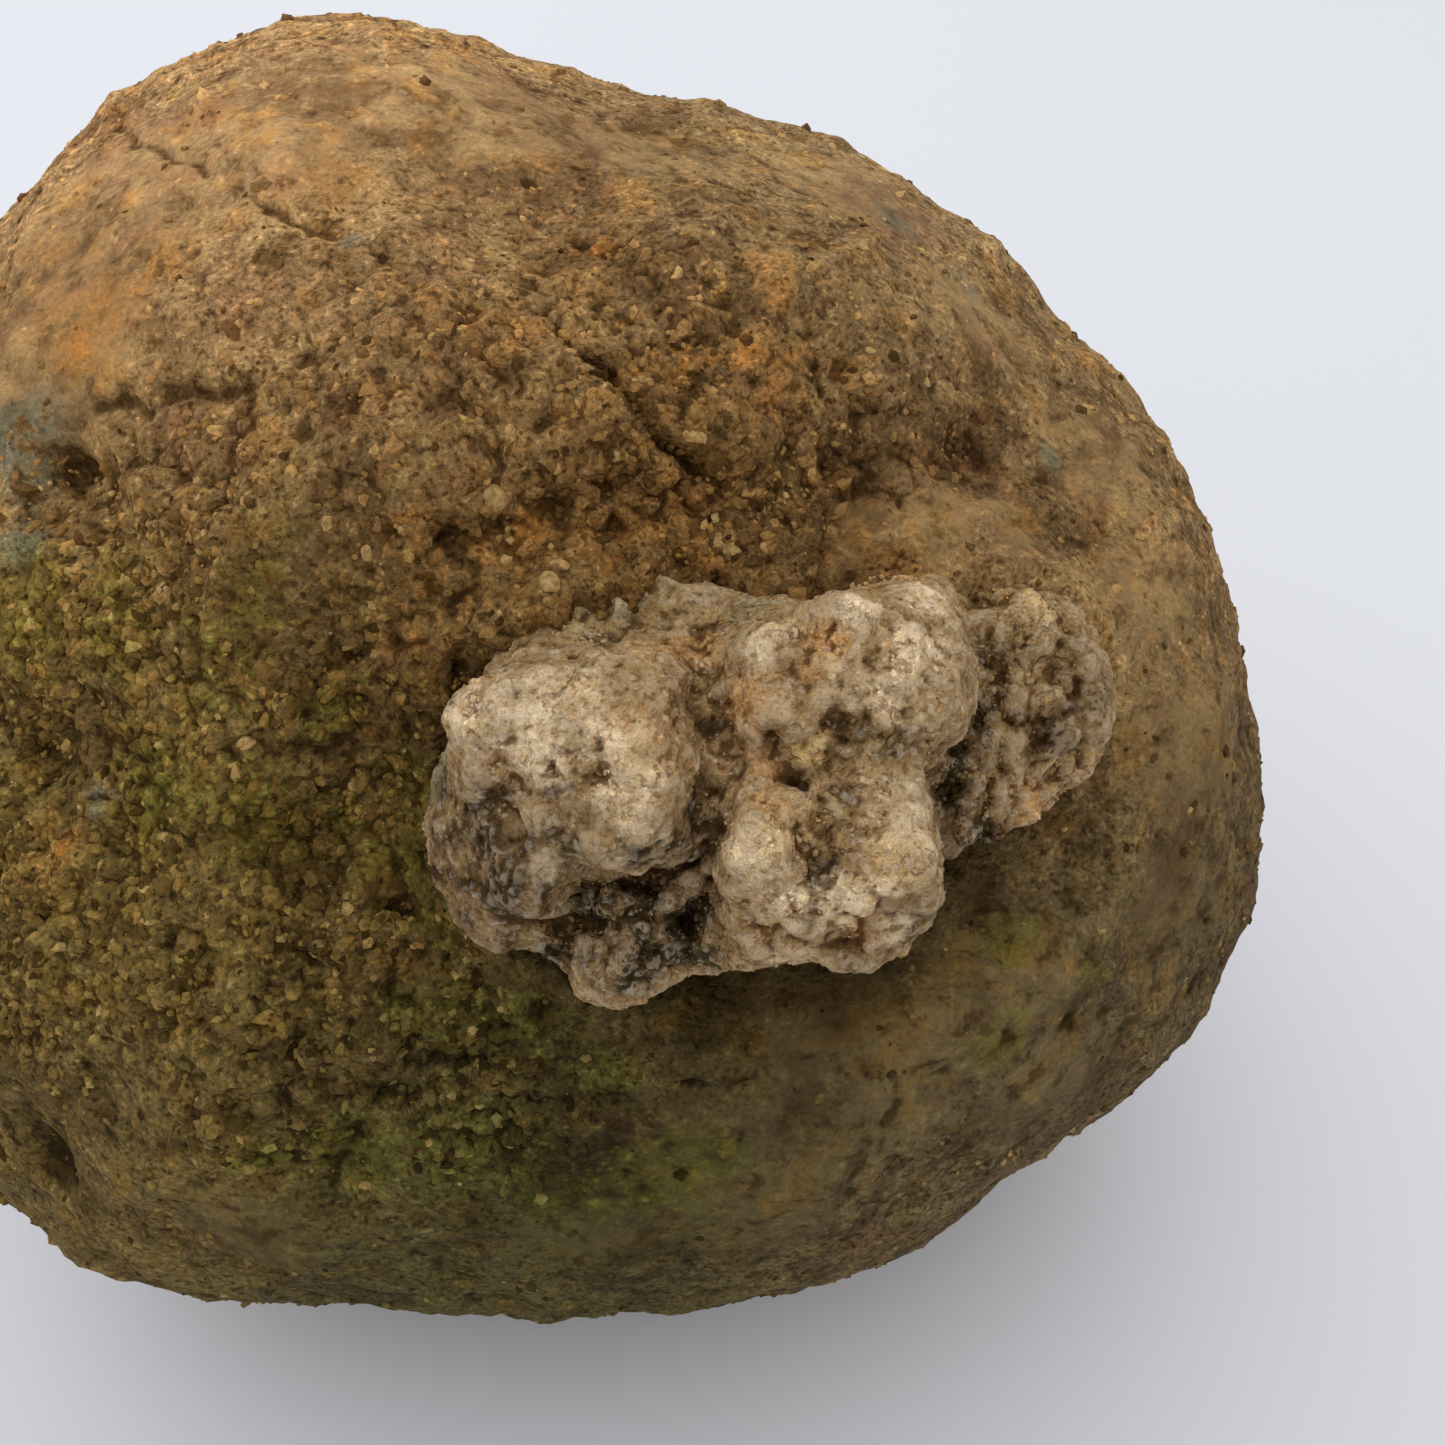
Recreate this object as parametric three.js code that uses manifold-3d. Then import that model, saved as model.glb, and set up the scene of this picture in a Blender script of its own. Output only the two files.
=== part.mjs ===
// An unopened geode: a rounded nodule of brown volcanic rock, with a knob of quartz that grew out through
// one face and hangs over the rock below it. It rests on a small flat worn on its underside.
// Millimetres, +Z up. The origin is the middle of the whole stone's footprint, on the surface it rests on.
import * as THREE from "three";
import { ImprovedNoise } from "three/addons/math/ImprovedNoise.js";
import { mergeVertices } from "three/addons/utils/BufferGeometryUtils.js";
import Module from "manifold-3d";

const wasm = await Module();
wasm.setup();

// ---------------------------------------------------------------- the rock's dimensions
// The stone is shaped in the frame of its broad face, about the nodule's centre: [across (+X), up the face,
// out of the face]. The face leans back, so it looks forwards and up.
const FACE_LEAN = 45; // degrees between the broad face and upright
const FRONT_DEPTH = 56; // centre to the middle of the broad face
const BACK_DEPTH = 57; // centre to the middle of the back
const SEAT_DROP = 60.5; // centre down to the flat that the stone rests on
// Centre to rim of the broad face, every 15 degrees from +X towards the top of the face.
const RIM = [
  75.5, 72, 67.5, 66, 63, 60, 63, 69, 71, 71, 71, 70, // 0 to 165 degrees
  70, 71.5, 75, 77.5, 74.5, 68.5, 67, 68, 72, 74, 79.5, 78, // 180 to 345 degrees
];
const ROCK_DETAIL = 14; // subdivisions of the ball that the rock is shaped from
const ROCK_CROWDING = 0.12; // crowds its triangles towards the broad face

// Swellings (rise above 0) and hollows (rise below 0). Each fades over its reach from a path of [across, up]
// points on the broad face, or on the back where side is -1.
const RELIEF = {
  browOverQuartz: { path: [[-6, 12], [15, 19], [34, 24]], reach: 13, rise: 3.5 },
  hollowRoundQuartz: { path: [[-2, -13], [-2, -5], [5, 3], [16, 6], [28, 8]], reach: 10, rise: -5.5 },
  hollowBehindQuartz: { path: [[33, 14], [42, 14]], reach: 9, rise: -5.5 },
  rightShoulder: { path: [[58, 12], [60, -4]], reach: 12, rise: 2.5 },
  crown: { path: [[-12, 47], [-4, 50]], reach: 15, rise: 2 },
  dipBesideCrown: { path: [[6, 52], [14, 46]], reach: 8, rise: -2 },
  upperShelf: { path: [[-30, 26], [-16, 29]], reach: 12, rise: 2 },
  ledgeUnderShelf: { path: [[-32, 15], [-26, 18], [-16, 18]], reach: 5, rise: -1.8 },
  paleScar: { path: [[24, 46], [38, 34]], reach: 7, rise: -1.8 },
  leftCleft: { path: [[-46, -6], [-34, -7], [-27, -9]], reach: 5, rise: -3.2 },
  leftHole: { path: [[-31, 14]], reach: 5, rise: -4 },
  lowerLeftDent: { path: [[-41, -43]], reach: 8, rise: -4 },
  lowerLeftRib: { path: [[-18, -31], [-14, -46]], reach: 8, rise: 1.8 },
  lowerBelly: { path: [[22, -40], [38, -34]], reach: 14, rise: 1.5 },
  nubOnRim: { path: [[70, -18]], reach: 3.5, rise: 2.5 },
  flatOfBack: { path: [[-12, 22], [16, 14]], side: -1, reach: 26, rise: -3 },
  ribOfBack: { path: [[-40, 40], [-46, 10], [-38, -16]], side: -1, reach: 11, rise: 2.5 },
  dentOfBack: { path: [[34, 38], [42, 30]], side: -1, reach: 9, rise: -3 },
  chipOfBack: { path: [[8, 52]], side: -1, reach: 7, rise: -2.5 },
  bellyUnderneath: { path: [[20, -26], [44, -12]], side: -1, reach: 15, rise: 2 },
};
// Waviness all over: [wavelength, height].
const ROCK_WAVES = [
  [34, 1.6],
  [15, 0.8],
  [8, 0.4],
];

// ---------------------------------------------------------------- the quartz's dimensions
// The quartz is one crust of lumps that melt into one another. Each lump is a rounded block: its centre and
// half sizes, turn about the way out of the face, tilt about the way across it, and squareness (2 makes an
// ellipsoid).
const LUMPS = {
  leftLobe: { at: [12.4, -8, 56.8], half: [6.6, 6.8, 6.6], turn: 12, tilt: -14, square: 3.2 },
  leftTip: { at: [5.6, -6, 56.3], half: [5.2, 3.2, 5.4], turn: 20, tilt: -22, square: 3.2 },
  leftLip: { at: [14.5, -11.5, 58], half: [4.5, 3.8, 4.5], turn: 10, tilt: 0, square: 2.4 },
  leftFlank: { at: [7, -11, 50.8], half: [6, 6, 7.6], turn: -25, tilt: 12, square: 3 },
  leftFoot: { at: [8.2, -14.8, 53], half: [4.2, 4.4, 5.8], turn: -20, tilt: 8, square: 3 },
  skirt: { at: [6.8, -13.8, 46], half: [10, 12.2, 7.8], turn: 25, tilt: 0, square: 2.6 },
  lowerLump: { at: [12.6, -22.4, 51], half: [4.6, 3.9, 4.8], turn: 0, tilt: 0, square: 2.6 },
  lowerBead: { at: [18.8, -21, 52], half: [3, 2.8, 3.4], turn: 0, tilt: 0, square: 2 },
  creviceBead: { at: [15.5, -17.5, 52], half: [4.8, 3.8, 3.8], turn: 0, tilt: 0, square: 2 },
  saddle: { at: [20.5, -7.5, 53], half: [5.5, 8, 6.5], turn: 0, tilt: -12, square: 2.5 },
  rightUpper: { at: [28, -3.2, 54], half: [8.3, 5.6, 6.4], turn: 12, tilt: -18, square: 2.8 },
  rightCorner: { at: [33.6, 0, 51.5], half: [4.8, 5, 6], turn: 10, tilt: -15, square: 2.6 },
  rightSide: { at: [32.5, -5, 53.5], half: [4.2, 5, 6], turn: 0, tilt: -5, square: 2.6 },
  rightMiddle: { at: [26.5, -9.5, 54.5], half: [7.6, 7, 7], turn: 0, tilt: -8, square: 2.8 },
  rightBulge: { at: [22.8, -14, 59], half: [4.4, 4, 5.4], turn: 0, tilt: 0, square: 2.4 },
  rightEdge: { at: [30, -15, 57.5], half: [4.7, 6, 6], turn: 10, tilt: 0, square: 2.5 },
  rightChin: { at: [25, -18.8, 55.5], half: [6.6, 4, 5.4], turn: 8, tilt: 10, square: 2.6 },
  backUpper: { at: [43.5, 0.5, 43], half: [6.3, 5.5, 5.8], turn: -15, tilt: 0, square: 2.5 },
  backMiddle: { at: [44.5, -5.5, 41.5], half: [7, 6.5, 6.4], turn: 0, tilt: 0, square: 2.5 },
  backHeart: { at: [39, -5.5, 42], half: [7, 8.5, 7], turn: 0, tilt: 0, square: 2.4 },
  backLower: { at: [42.5, -10, 42.5], half: [5.5, 4.5, 5.5], turn: 20, tilt: 0, square: 2.5 },
  backInner: { at: [38, -12.5, 44.5], half: [4.4, 4.6, 5], turn: 0, tilt: 0, square: 2.3 },
  collar: { at: [15, -3, 46.5], half: [14, 7.3, 6.5], turn: 6, tilt: 0, square: 2.5 },
  collarRight: { at: [36, -1, 42.5], half: [12, 6, 6], turn: 0, tilt: 0, square: 2.5 },
};
const BLEND = 0.95; // how far the lumps melt into one another
// Grooves and pits between and in the lumps.
const GROOVES = {
  betweenLobes: { path: [[18.6, 0, 57], [19.2, -6, 61], [19.6, -13, 61]], reach: 2.2, depth: 1.6 },
  underLeftLobe: { path: [[11.5, -16.4, 58], [15, -16.6, 58], [19, -16, 58]], reach: 2, depth: 3 },
  besideFoot: { path: [[10, -19.5, 55]], reach: 1.8, depth: 2 },
  leftOfChin: { path: [[19.5, -18.5, 56]], reach: 2, depth: 2 },
  pocket: { path: [[24.3, -8.2, 62]], reach: 2, depth: 3 },
  greyHollow: { path: [[28.6, -8, 62]], reach: 3, depth: 1.5 },
  betweenBulgeAndEdge: { path: [[25.8, -11.5, 64], [26.2, -16, 64]], reach: 1.7, depth: 2 },
  rightNotch: { path: [[35.5, -9.5, 57]], reach: 2.5, depth: 1.5 },
  beforeBackLump: { path: [[39.5, 3, 49], [38.8, -4, 49], [36.5, -10, 50]], reach: 2, depth: 1 },
  pitInLeftLobe: { path: [[10.3, -8.7, 65]], reach: 1.5, depth: 1.8 },
};
const QUARTZ_WAVES = [
  [8, 1.8],
  [4, 1.1],
];
const QUARTZ_HEART = new THREE.Vector3(22, -9, 43); // the point that its skin is measured out from
const QUARTZ_DETAIL = 15;
const QUARTZ_CROWDING = 0.45;

// The quartz is rooted in a socket in the rock.
const ROOT = { at: [22, -8, 41], half: [22, 13, 12] };
const ROOT_DETAIL = 4;
const SEAM = 0.3; // gap between the quartz and the rock round it

// ---------------------------------------------------------------- shaping
const radians = THREE.MathUtils.degToRad;
const faceToRow = new THREE.Matrix4().makeRotationX(radians(90 - FACE_LEAN));
const perlin = new ImprovedNoise();

// Each wave is shifted by its own length, so that the waves don't line up.
function waviness(point, waves) {
  return waves.reduce((sum, [length, height]) => {
    const p = point.clone().divideScalar(length).addScalar(length);
    return sum + height * perlin.noise(p.x, p.y, p.z);
  }, 0);
}

// Moves every vertex of a geometry by a function from point to point.
function reshape(geometry, move) {
  const places = geometry.getAttribute("position");
  const point = new THREE.Vector3();
  for (let i = 0; i < places.count; i++) {
    const moved = move(point.fromBufferAttribute(places, i));
    places.setXYZ(i, moved.x, moved.y, moved.z);
  }
  return geometry;
}

function merged(geometry) {
  const loose = geometry.index ? geometry.toNonIndexed() : geometry;
  const bare = new THREE.BufferGeometry().setAttribute("position", loose.getAttribute("position"));
  return mergeVertices(bare, 1e-4);
}

// A ball of radius 1 whose triangles crowd towards the way out of the face.
function unitBall(detail, crowding = 0) {
  const ball = merged(new THREE.IcosahedronGeometry(1, detail));
  return reshape(ball, (v) => v.setZ(v.z + crowding).normalize());
}

// Distance from a point to a path of one or more points.
function distanceToPath(point, path) {
  if (path.length === 1) return point.distanceTo(path[0]);
  const nearest = new THREE.Vector3();
  const distances = path.slice(1).map((end, i) => {
    return new THREE.Line3(path[i], end).closestPointToPoint(point, true, nearest).distanceTo(point);
  });
  return Math.min(...distances);
}

// 1 on a path, fading to nothing over its reach.
function nearness(point, { path, reach }) {
  return Math.exp(-((distanceToPath(point, path) / reach) ** 2));
}

// ---------------------------------------------------------------- solids
function solidOf(geometry) {
  const { index, attributes } = merged(geometry);
  const [vertProperties, triVerts] = [attributes.position.array, new Uint32Array(index.array)];
  return new wasm.Manifold(new wasm.Mesh({ numProp: 3, vertProperties, triVerts }));
}

function meshOf(name, solid, color, roughness) {
  const { vertProperties, triVerts } = solid.getMesh();
  const geometry = new THREE.BufferGeometry();
  geometry.setAttribute("position", new THREE.Float32BufferAttribute(vertProperties, 3));
  geometry.setIndex([...triVerts]);
  geometry.computeVertexNormals();
  const mesh = new THREE.Mesh(geometry, new THREE.MeshStandardMaterial({ color, roughness, metalness: 0 }));
  mesh.name = name;
  return mesh;
}

// ---------------------------------------------------------------- the rock
// The rim's radius at an angle in radians, by a closed Catmull-Rom curve through RIM.
function rimRadius(angle) {
  const steps = RIM.length;
  const place = ((angle / (2 * Math.PI)) * steps + steps) % steps;
  const i = Math.floor(place);
  const t = place - i;
  const [a, b, c, d] = [-1, 0, 1, 2].map((k) => RIM[(i + k + steps) % steps]);
  return b + 0.5 * t * (c - a + t * (2 * a - 5 * b + 4 * c - d + t * (3 * (b - c) + d - a)));
}

// Where a direction from the centre leaves the smooth nodule.
function onNodule(direction) {
  const rim = rimRadius(Math.atan2(direction.y, direction.x));
  const depth = direction.z > 0 ? FRONT_DEPTH : BACK_DEPTH;
  const share = Math.hypot(Math.hypot(direction.x, direction.y) / rim, direction.z / depth);
  return direction.clone().divideScalar(share);
}

// The point of the smooth nodule that lies over [across, up] of the broad face, or of the back.
function overFace([across, up], side = 1) {
  const share = Math.hypot(across, up) / rimRadius(Math.atan2(up, across));
  const depth = side > 0 ? FRONT_DEPTH : BACK_DEPTH;
  return new THREE.Vector3(across, up, side * depth * Math.sqrt(1 - share ** 2));
}

const relief = Object.values(RELIEF).map(({ path, side, reach, rise }) => {
  return { path: path.map((place) => overFace(place, side)), reach, rise };
});

function rockSolid(extra = 0) {
  const ball = reshape(unitBall(ROCK_DETAIL, ROCK_CROWDING), (v) => {
    const direction = v.clone();
    const skin = onNodule(direction);
    const rise = relief.reduce((sum, feature) => sum + feature.rise * nearness(skin, feature), extra);
    return skin.addScaledVector(direction, rise + waviness(skin, ROCK_WAVES));
  });
  return solidOf(ball.applyMatrix4(faceToRow));
}

function belowSeat() {
  const side = 400; // larger than the stone
  return solidOf(new THREE.BoxGeometry(side, side, side).translate(0, 0, -SEAT_DROP - side / 2));
}

// ---------------------------------------------------------------- the quartz
const lumps = Object.values(LUMPS).map(({ at, half, turn, tilt, square }) => {
  const pose = new THREE.Euler(radians(tilt), 0, radians(turn), "ZXY");
  const toLump = new THREE.Matrix4().makeRotationFromEuler(pose).setPosition(...at).invert();
  return { toLump, half, square, thickness: Math.min(...half) };
});
const grooves = Object.values(GROOVES).map(({ path, reach, depth }) => {
  return { path: path.map((place) => new THREE.Vector3(...place)), reach, depth };
});

// Roughly how far a point is outside the quartz. It is below 0 inside.
function outsideQuartz(point) {
  const gaps = lumps.map(({ toLump, half, square, thickness }) => {
    const place = point.clone().applyMatrix4(toLump).toArray();
    const sum = place.reduce((total, p, i) => total + Math.abs(p / half[i]) ** square, 0);
    return thickness * (sum ** (1 / square) - 1);
  });
  const melted = -BLEND * Math.log(gaps.reduce((total, gap) => total + Math.exp(-gap / BLEND), 0));
  return grooves.reduce((gap, groove) => gap + groove.depth * nearness(point, groove), melted);
}

// Where a direction from the quartz's heart last leaves the quartz, searched from well outside inwards.
function onQuartz(direction) {
  const [start, step, halvings] = [45, 0.5, 6];
  const along = (reach) => QUARTZ_HEART.clone().addScaledVector(direction, reach);
  let inside = start;
  let gap = outsideQuartz(along(inside));
  while (gap > 0 && inside > step) {
    inside -= Math.max(step, gap / 2);
    gap = outsideQuartz(along(inside));
  }
  let outside = inside + step;
  for (let i = 0; i < halvings; i++) {
    const middle = (inside + outside) / 2;
    if (outsideQuartz(along(middle)) > 0) outside = middle;
    else inside = middle;
  }
  return along(inside);
}

function crustSolid() {
  const ball = reshape(unitBall(QUARTZ_DETAIL, QUARTZ_CROWDING), (v) => {
    const direction = v.clone();
    const skin = onQuartz(direction);
    return skin.addScaledVector(direction, waviness(skin, QUARTZ_WAVES));
  });
  return solidOf(ball.applyMatrix4(faceToRow));
}

function rootSolid(extra = 0) {
  const [across, up, out] = ROOT.half.map((half) => half + extra);
  const ball = unitBall(ROOT_DETAIL).scale(across, up, out).translate(...ROOT.at);
  return solidOf(ball.applyMatrix4(faceToRow));
}

// ---------------------------------------------------------------- assembly
const rock = rockSolid().subtract(belowSeat()).subtract(rootSolid(SEAM));
const rockRoundRoot = rockSolid(SEAM).subtract(rootSolid());
const quartz = crustSolid().add(rootSolid()).subtract(rockRoundRoot);

const geode = new THREE.Group();
geode.add(meshOf("host_rock", rock, 0x7d6242, 0.95));
geode.add(meshOf("quartz_knob", quartz, 0xb49d84, 0.6));
const box = new THREE.Box3().setFromObject(geode);
const middle = box.getCenter(new THREE.Vector3());
geode.position.set(-middle.x, -middle.y, -box.min.z);

export default geode;
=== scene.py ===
"""A whole geode: a rounded nodule of brown volcanic rock with a lump of quartz on its sloping face."""
import math

import bmesh
import bpy
import numpy as np
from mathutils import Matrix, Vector
from mathutils.bvhtree import BVHTree


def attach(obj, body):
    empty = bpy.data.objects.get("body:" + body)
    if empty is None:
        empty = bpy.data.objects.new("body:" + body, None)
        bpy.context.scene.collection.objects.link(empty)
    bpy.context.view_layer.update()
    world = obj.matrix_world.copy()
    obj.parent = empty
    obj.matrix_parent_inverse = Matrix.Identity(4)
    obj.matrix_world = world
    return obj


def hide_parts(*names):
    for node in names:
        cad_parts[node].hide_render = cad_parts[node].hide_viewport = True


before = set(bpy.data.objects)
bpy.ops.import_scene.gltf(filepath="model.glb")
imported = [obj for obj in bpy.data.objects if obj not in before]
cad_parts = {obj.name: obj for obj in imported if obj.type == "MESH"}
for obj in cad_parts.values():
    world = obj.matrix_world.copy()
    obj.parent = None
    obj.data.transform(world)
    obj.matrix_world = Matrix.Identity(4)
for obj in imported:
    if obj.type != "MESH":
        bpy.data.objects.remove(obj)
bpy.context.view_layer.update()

# ---------------------------------------------------------------- the stone's broad face
# The face leans back 45 degrees. Places are in mm: across the face, up the face, and out of it, from the
# middle of the nodule.
MM = 0.001
FACE_LEAN = math.radians(45)
HEART = np.array([-3.5517, 1.0678, 60.5])
ACROSS = np.array([1.0, 0.0, 0.0])
UP = np.array([0.0, math.sin(FACE_LEAN), math.cos(FACE_LEAN)])
OUT = np.array([0.0, -math.cos(FACE_LEAN), math.sin(FACE_LEAN)])
FACE = np.stack([ACROSS, UP, OUT])

# The camera looks straight at the face. A spot of the surface that it sees is named by x and y in its
# frame, and its place on the stone is where that line of sight meets the surface.
EYE_OUT = 160.0
EYE_ACROSS = 20.0
EYE_UP = -5.6
FRAME_SIDE = 1445.0
EYE = HEART + EYE_ACROSS * ACROSS + EYE_UP * UP + EYE_OUT * OUT
SIGHT_DEPTHS = range(90, 180, 2)


def on_face(points):
    """Across, up and out, in mm, of points of the stone."""
    return (points - HEART) @ FACE.T


def seen(tree, x, y):
    """The place on a surface, in mm, where the camera sees the spot x, y of its frame, or just misses."""
    across = (x - FRAME_SIDE / 2) / FRAME_SIDE
    up = (FRAME_SIDE / 2 - y) / FRAME_SIDE
    line = Vector(across * ACROSS + up * UP - OUT).normalized()
    place = tree.ray_cast(Vector(EYE), line)[0]
    if place is None:
        near = [tree.find_nearest(Vector(EYE) + line * depth) for depth in SIGHT_DEPTHS]
        place = min(near, key=lambda hit: hit[3])[0]
    return np.array(place)


# ---------------------------------------------------------------- shaping
def soft(value, start, end):
    """0 at start, 1 at end, and smooth between them."""
    t = np.clip((value - start) / (end - start), 0.0, 1.0)
    return t * t * (3.0 - 2.0 * t)


def relax(points, edges, passes):
    """Points after each one has moved towards the middle of its neighbours, passes times over."""
    first, second = edges[:, 0], edges[:, 1]
    count = np.bincount(edges.ravel(), minlength=len(points)).astype(float)
    for _ in range(passes):
        middle = np.stack([
            np.bincount(first, points[second, axis], len(points))
            + np.bincount(second, points[first, axis], len(points))
            for axis in range(points.shape[1])], axis=1)
        points = points + 0.5 * (middle / count[:, None] - points)
    return points


def sunk(points, edges, outward, passes):
    """How far, in mm, each point lies below its surroundings, smoothed passes times."""
    return np.einsum("ij,ij->i", relax(points, edges, passes) - points, outward)


def mesh_arrays(mesh):
    """The points in mm, the edges and the outward directions of a mesh."""
    points = np.empty(len(mesh.vertices) * 3)
    mesh.vertices.foreach_get("co", points)
    edges = np.empty(len(mesh.edges) * 2, dtype=np.int32)
    mesh.edges.foreach_get("vertices", edges)
    outward = np.empty(len(mesh.vertices) * 3)
    mesh.vertex_normals.foreach_get("vector", outward)
    return points.reshape(-1, 3) / MM, edges.reshape(-1, 2), outward.reshape(-1, 3)


def put_points(mesh, points):
    """Moves a mesh's points, in mm, and returns its new outward directions."""
    mesh.vertices.foreach_set("co", (points * MM).ravel())
    mesh.update()
    return mesh_arrays(mesh)[2]


def tree_of(mesh):
    """What a line of sight is cast against, in mm."""
    points = mesh_arrays(mesh)[0]
    return BVHTree.FromPolygons([Vector(p) for p in points], [tuple(p.vertices) for p in mesh.polygons])


def drawn(cells, seed):
    """A steady random number from -1 to 1 for each whole-numbered cell."""
    code = cells.astype(np.int64).astype(np.uint32)
    code = code * np.array([73856093, 19349663, 83492791], dtype=np.uint32)
    code = code[..., 0] ^ code[..., 1] ^ code[..., 2]
    code = (code ^ np.uint32(seed * 7919 + 17)) * np.uint32(2654435761)
    code = (code ^ (code >> np.uint32(15))) * np.uint32(2246822519)
    code = (code ^ (code >> np.uint32(13))) * np.uint32(3266489917)
    return (code ^ (code >> np.uint32(16))) / 2147483647.5 - 1.0


def drawn_way(cells, seed):
    """Three steady random numbers for each cell."""
    return np.stack([drawn(cells, seed + k) for k in range(3)], axis=1)


def ripple(points, seed):
    """Smooth random waves one unit wide, about -1 to 1."""
    base = np.floor(points)
    inside = points - base
    fade = inside * inside * inside * (inside * (inside * 6.0 - 15.0) + 10.0)
    value = np.zeros(len(points))
    for corner in np.ndindex(2, 2, 2):
        slope = drawn_way(base + corner, seed * 3)
        share = np.prod(np.where(corner, fade, 1.0 - fade), axis=1)
        value += share * np.sum(slope * (inside - corner), axis=1)
    return value * 1.3


def cloudy(points, size, octaves, seed):
    """Cloudy relief, about -1 to 1, whose widest features measure size mm."""
    return sum(0.55 ** k * ripple(points / size * 2.03 ** k, seed + k) for k in range(octaves))


def creased(points, size, octaves, seed):
    """Rounded swellings with narrow valleys between them, about 0 to 1."""
    folds = sum(0.5 ** k * np.abs(ripple(points / size * 2.03 ** k, seed + k)) for k in range(octaves))
    return np.clip(folds, 0.0, 1.0)


def packed(points, size, seed):
    """Rounded grains side by side: 1 on top of a grain, 0 in the gaps between them."""
    scaled = points / size
    base = np.floor(scaled)
    first, second = np.full(len(points), 9.0), np.full(len(points), 9.0)
    for step in np.ndindex(3, 3, 3):
        cell = base + np.array(step) - 1.0
        middle = cell + 0.5 + 0.48 * drawn_way(cell, seed)
        away = np.linalg.norm(scaled - middle, axis=1)
        second = np.minimum(second, np.maximum(first, away))
        first = np.minimum(first, away)
    return soft(second - first, 0.0, 0.6)


def faceted(points, size, seed):
    """Flat broken faces, each tilted its own way, that meet at edges: about -1 to 1."""
    scaled = points / size
    base = np.floor(scaled)
    height = np.full(len(points), -9.0)
    for step in np.ndindex(3, 3, 3):
        cell = base + np.array(step) - 1.0
        away = scaled - cell - 0.5 - 0.42 * drawn_way(cell, seed)
        tilt = drawn_way(cell, seed + 3)
        past = np.maximum(np.linalg.norm(away, axis=1) - 0.4, 0.0)
        face = 0.35 * drawn(cell, seed + 6) + np.sum(tilt * away, axis=1) - 3.0 * past ** 2
        height = np.maximum(height, face)
    return height


def wandering(points, size, reach, seed=40):
    """The points shaken by up to about reach mm, so that what is placed by distance gets a natural edge."""
    shake = np.stack([ripple(points / size, seed + k) + 0.5 * ripple(points / size * 2.3, seed + 9 + k)
                      for k in range(3)], axis=1)
    return points + reach * shake


def away_from_run(points, run):
    """Distance in mm of points from a line through the places of a run."""
    nearest = np.full(len(points), 1e9)
    for start, end in zip(run[:-1], run[1:]):
        step = end - start
        share = np.clip((points - start) @ step / max(step @ step, 1e-9), 0.0, 1.0)
        nearest = np.minimum(nearest, np.linalg.norm(points - (start + share[:, None] * step), axis=1))
    return nearest


def spots_lift(points, tree, spots):
    """Bumps above 0 and hollows below it: each spot is x, y, radius and height in mm."""
    lift = np.zeros(len(points))
    for x, y, radius, height in spots.values():
        away = np.linalg.norm(points - seen(tree, x, y), axis=1) / radius
        lift += height * np.clip(1.0 - away ** 2, 0.0, 1.0) ** 2
    return lift


def runs_lift(points, tree, runs):
    """Ridges above 0 and cracks below it: each has a half width and height in mm, and spots it passes."""
    lift = np.zeros(len(points))
    for half, height, spots in runs.values():
        run = []
        for (x0, y0), (x1, y1) in zip(spots[:-1], spots[1:]):
            steps = max(1, int(math.hypot(x1 - x0, y1 - y0) / 12))
            for t in range(steps):
                run.append(seen(tree, x0 + (x1 - x0) * t / steps, y0 + (y1 - y0) * t / steps))
        run.append(seen(tree, *spots[-1]))
        lift += height * np.exp(-(away_from_run(points, run) / half) ** 2)
    return lift


def patches(points, tree, spots):
    """1 in the middle of a patch, 0 outside it: each spot is x, y and radius in mm."""
    cover = np.zeros(len(points))
    for x, y, radius in spots:
        away = np.linalg.norm(points - seen(tree, x, y), axis=1) / radius
        cover = np.maximum(cover, 1.0 - soft(away, 0.35, 1.15))
    return cover


def merged_copy(node):
    """A copy of a CAD node with its loose triangles joined."""
    bm = bmesh.new()
    bm.from_mesh(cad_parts[node].data)
    bmesh.ops.remove_doubles(bm, verts=bm.verts, dist=1e-6)
    return bm


def placed(name, data):
    """A new object of the scene."""
    thing = bpy.data.objects.new(name, data)
    bpy.context.scene.collection.objects.link(thing)
    return thing


def as_piece(mesh, smooth=True):
    """A mesh as a piece of the stone, of one of its two minerals."""
    mesh.polygons.foreach_set("use_smooth", [smooth] * len(mesh.polygons))
    piece = placed(mesh.name, mesh)
    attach(piece, "root")
    return piece


def keep(mesh, name, values):
    """Keeps a number or a colour of each point on a mesh, for the grains on it and its finish to read."""
    values = np.asarray(values, dtype=np.float32)
    if values.ndim == 1:
        mesh.attributes.new(name, "FLOAT", "POINT").data.foreach_set("value", values)
    else:
        values = np.column_stack([values, np.ones(len(values), dtype=np.float32)])
        mesh.attributes.new(name, "FLOAT_COLOR", "POINT").data.foreach_set("color", values.ravel())


def kept(mesh, name):
    """What keep() left on a mesh."""
    layer = mesh.attributes[name]
    key, width = ("value", 1) if layer.data_type == "FLOAT" else ("color", 4)
    values = np.empty(len(mesh.vertices) * width, dtype=np.float32)
    layer.data.foreach_get(key, values)
    return values if width == 1 else values.reshape(-1, width)[:, :3]


def keep_hollow(mesh, points, edges, outward, near, far):
    """Keeps how hollow a mesh is: near and far are the passes of smoothing and the depth in mm of 1."""
    fine, broad = (np.clip(sunk(points, edges, outward, passes) / depth, -1.0, 1.0)
                   for passes, depth in (near, far))
    keep(mesh, "hollow", fine * 0.6 + broad * 0.4)


def paint(red, green, blue):
    """A colour given as 0 to 255, as its share of light."""
    shares = (red / 255, green / 255, blue / 255)
    return tuple(((c + 0.055) / 1.055) ** 2.4 if c > 0.04 else c / 12.92 for c in shares)


# ---------------------------------------------------------------- the rock's surface
ROCK_CUTS = 98
ROCK_CROWDING = 0.4
ROCK_ROUNDING = 60
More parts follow.
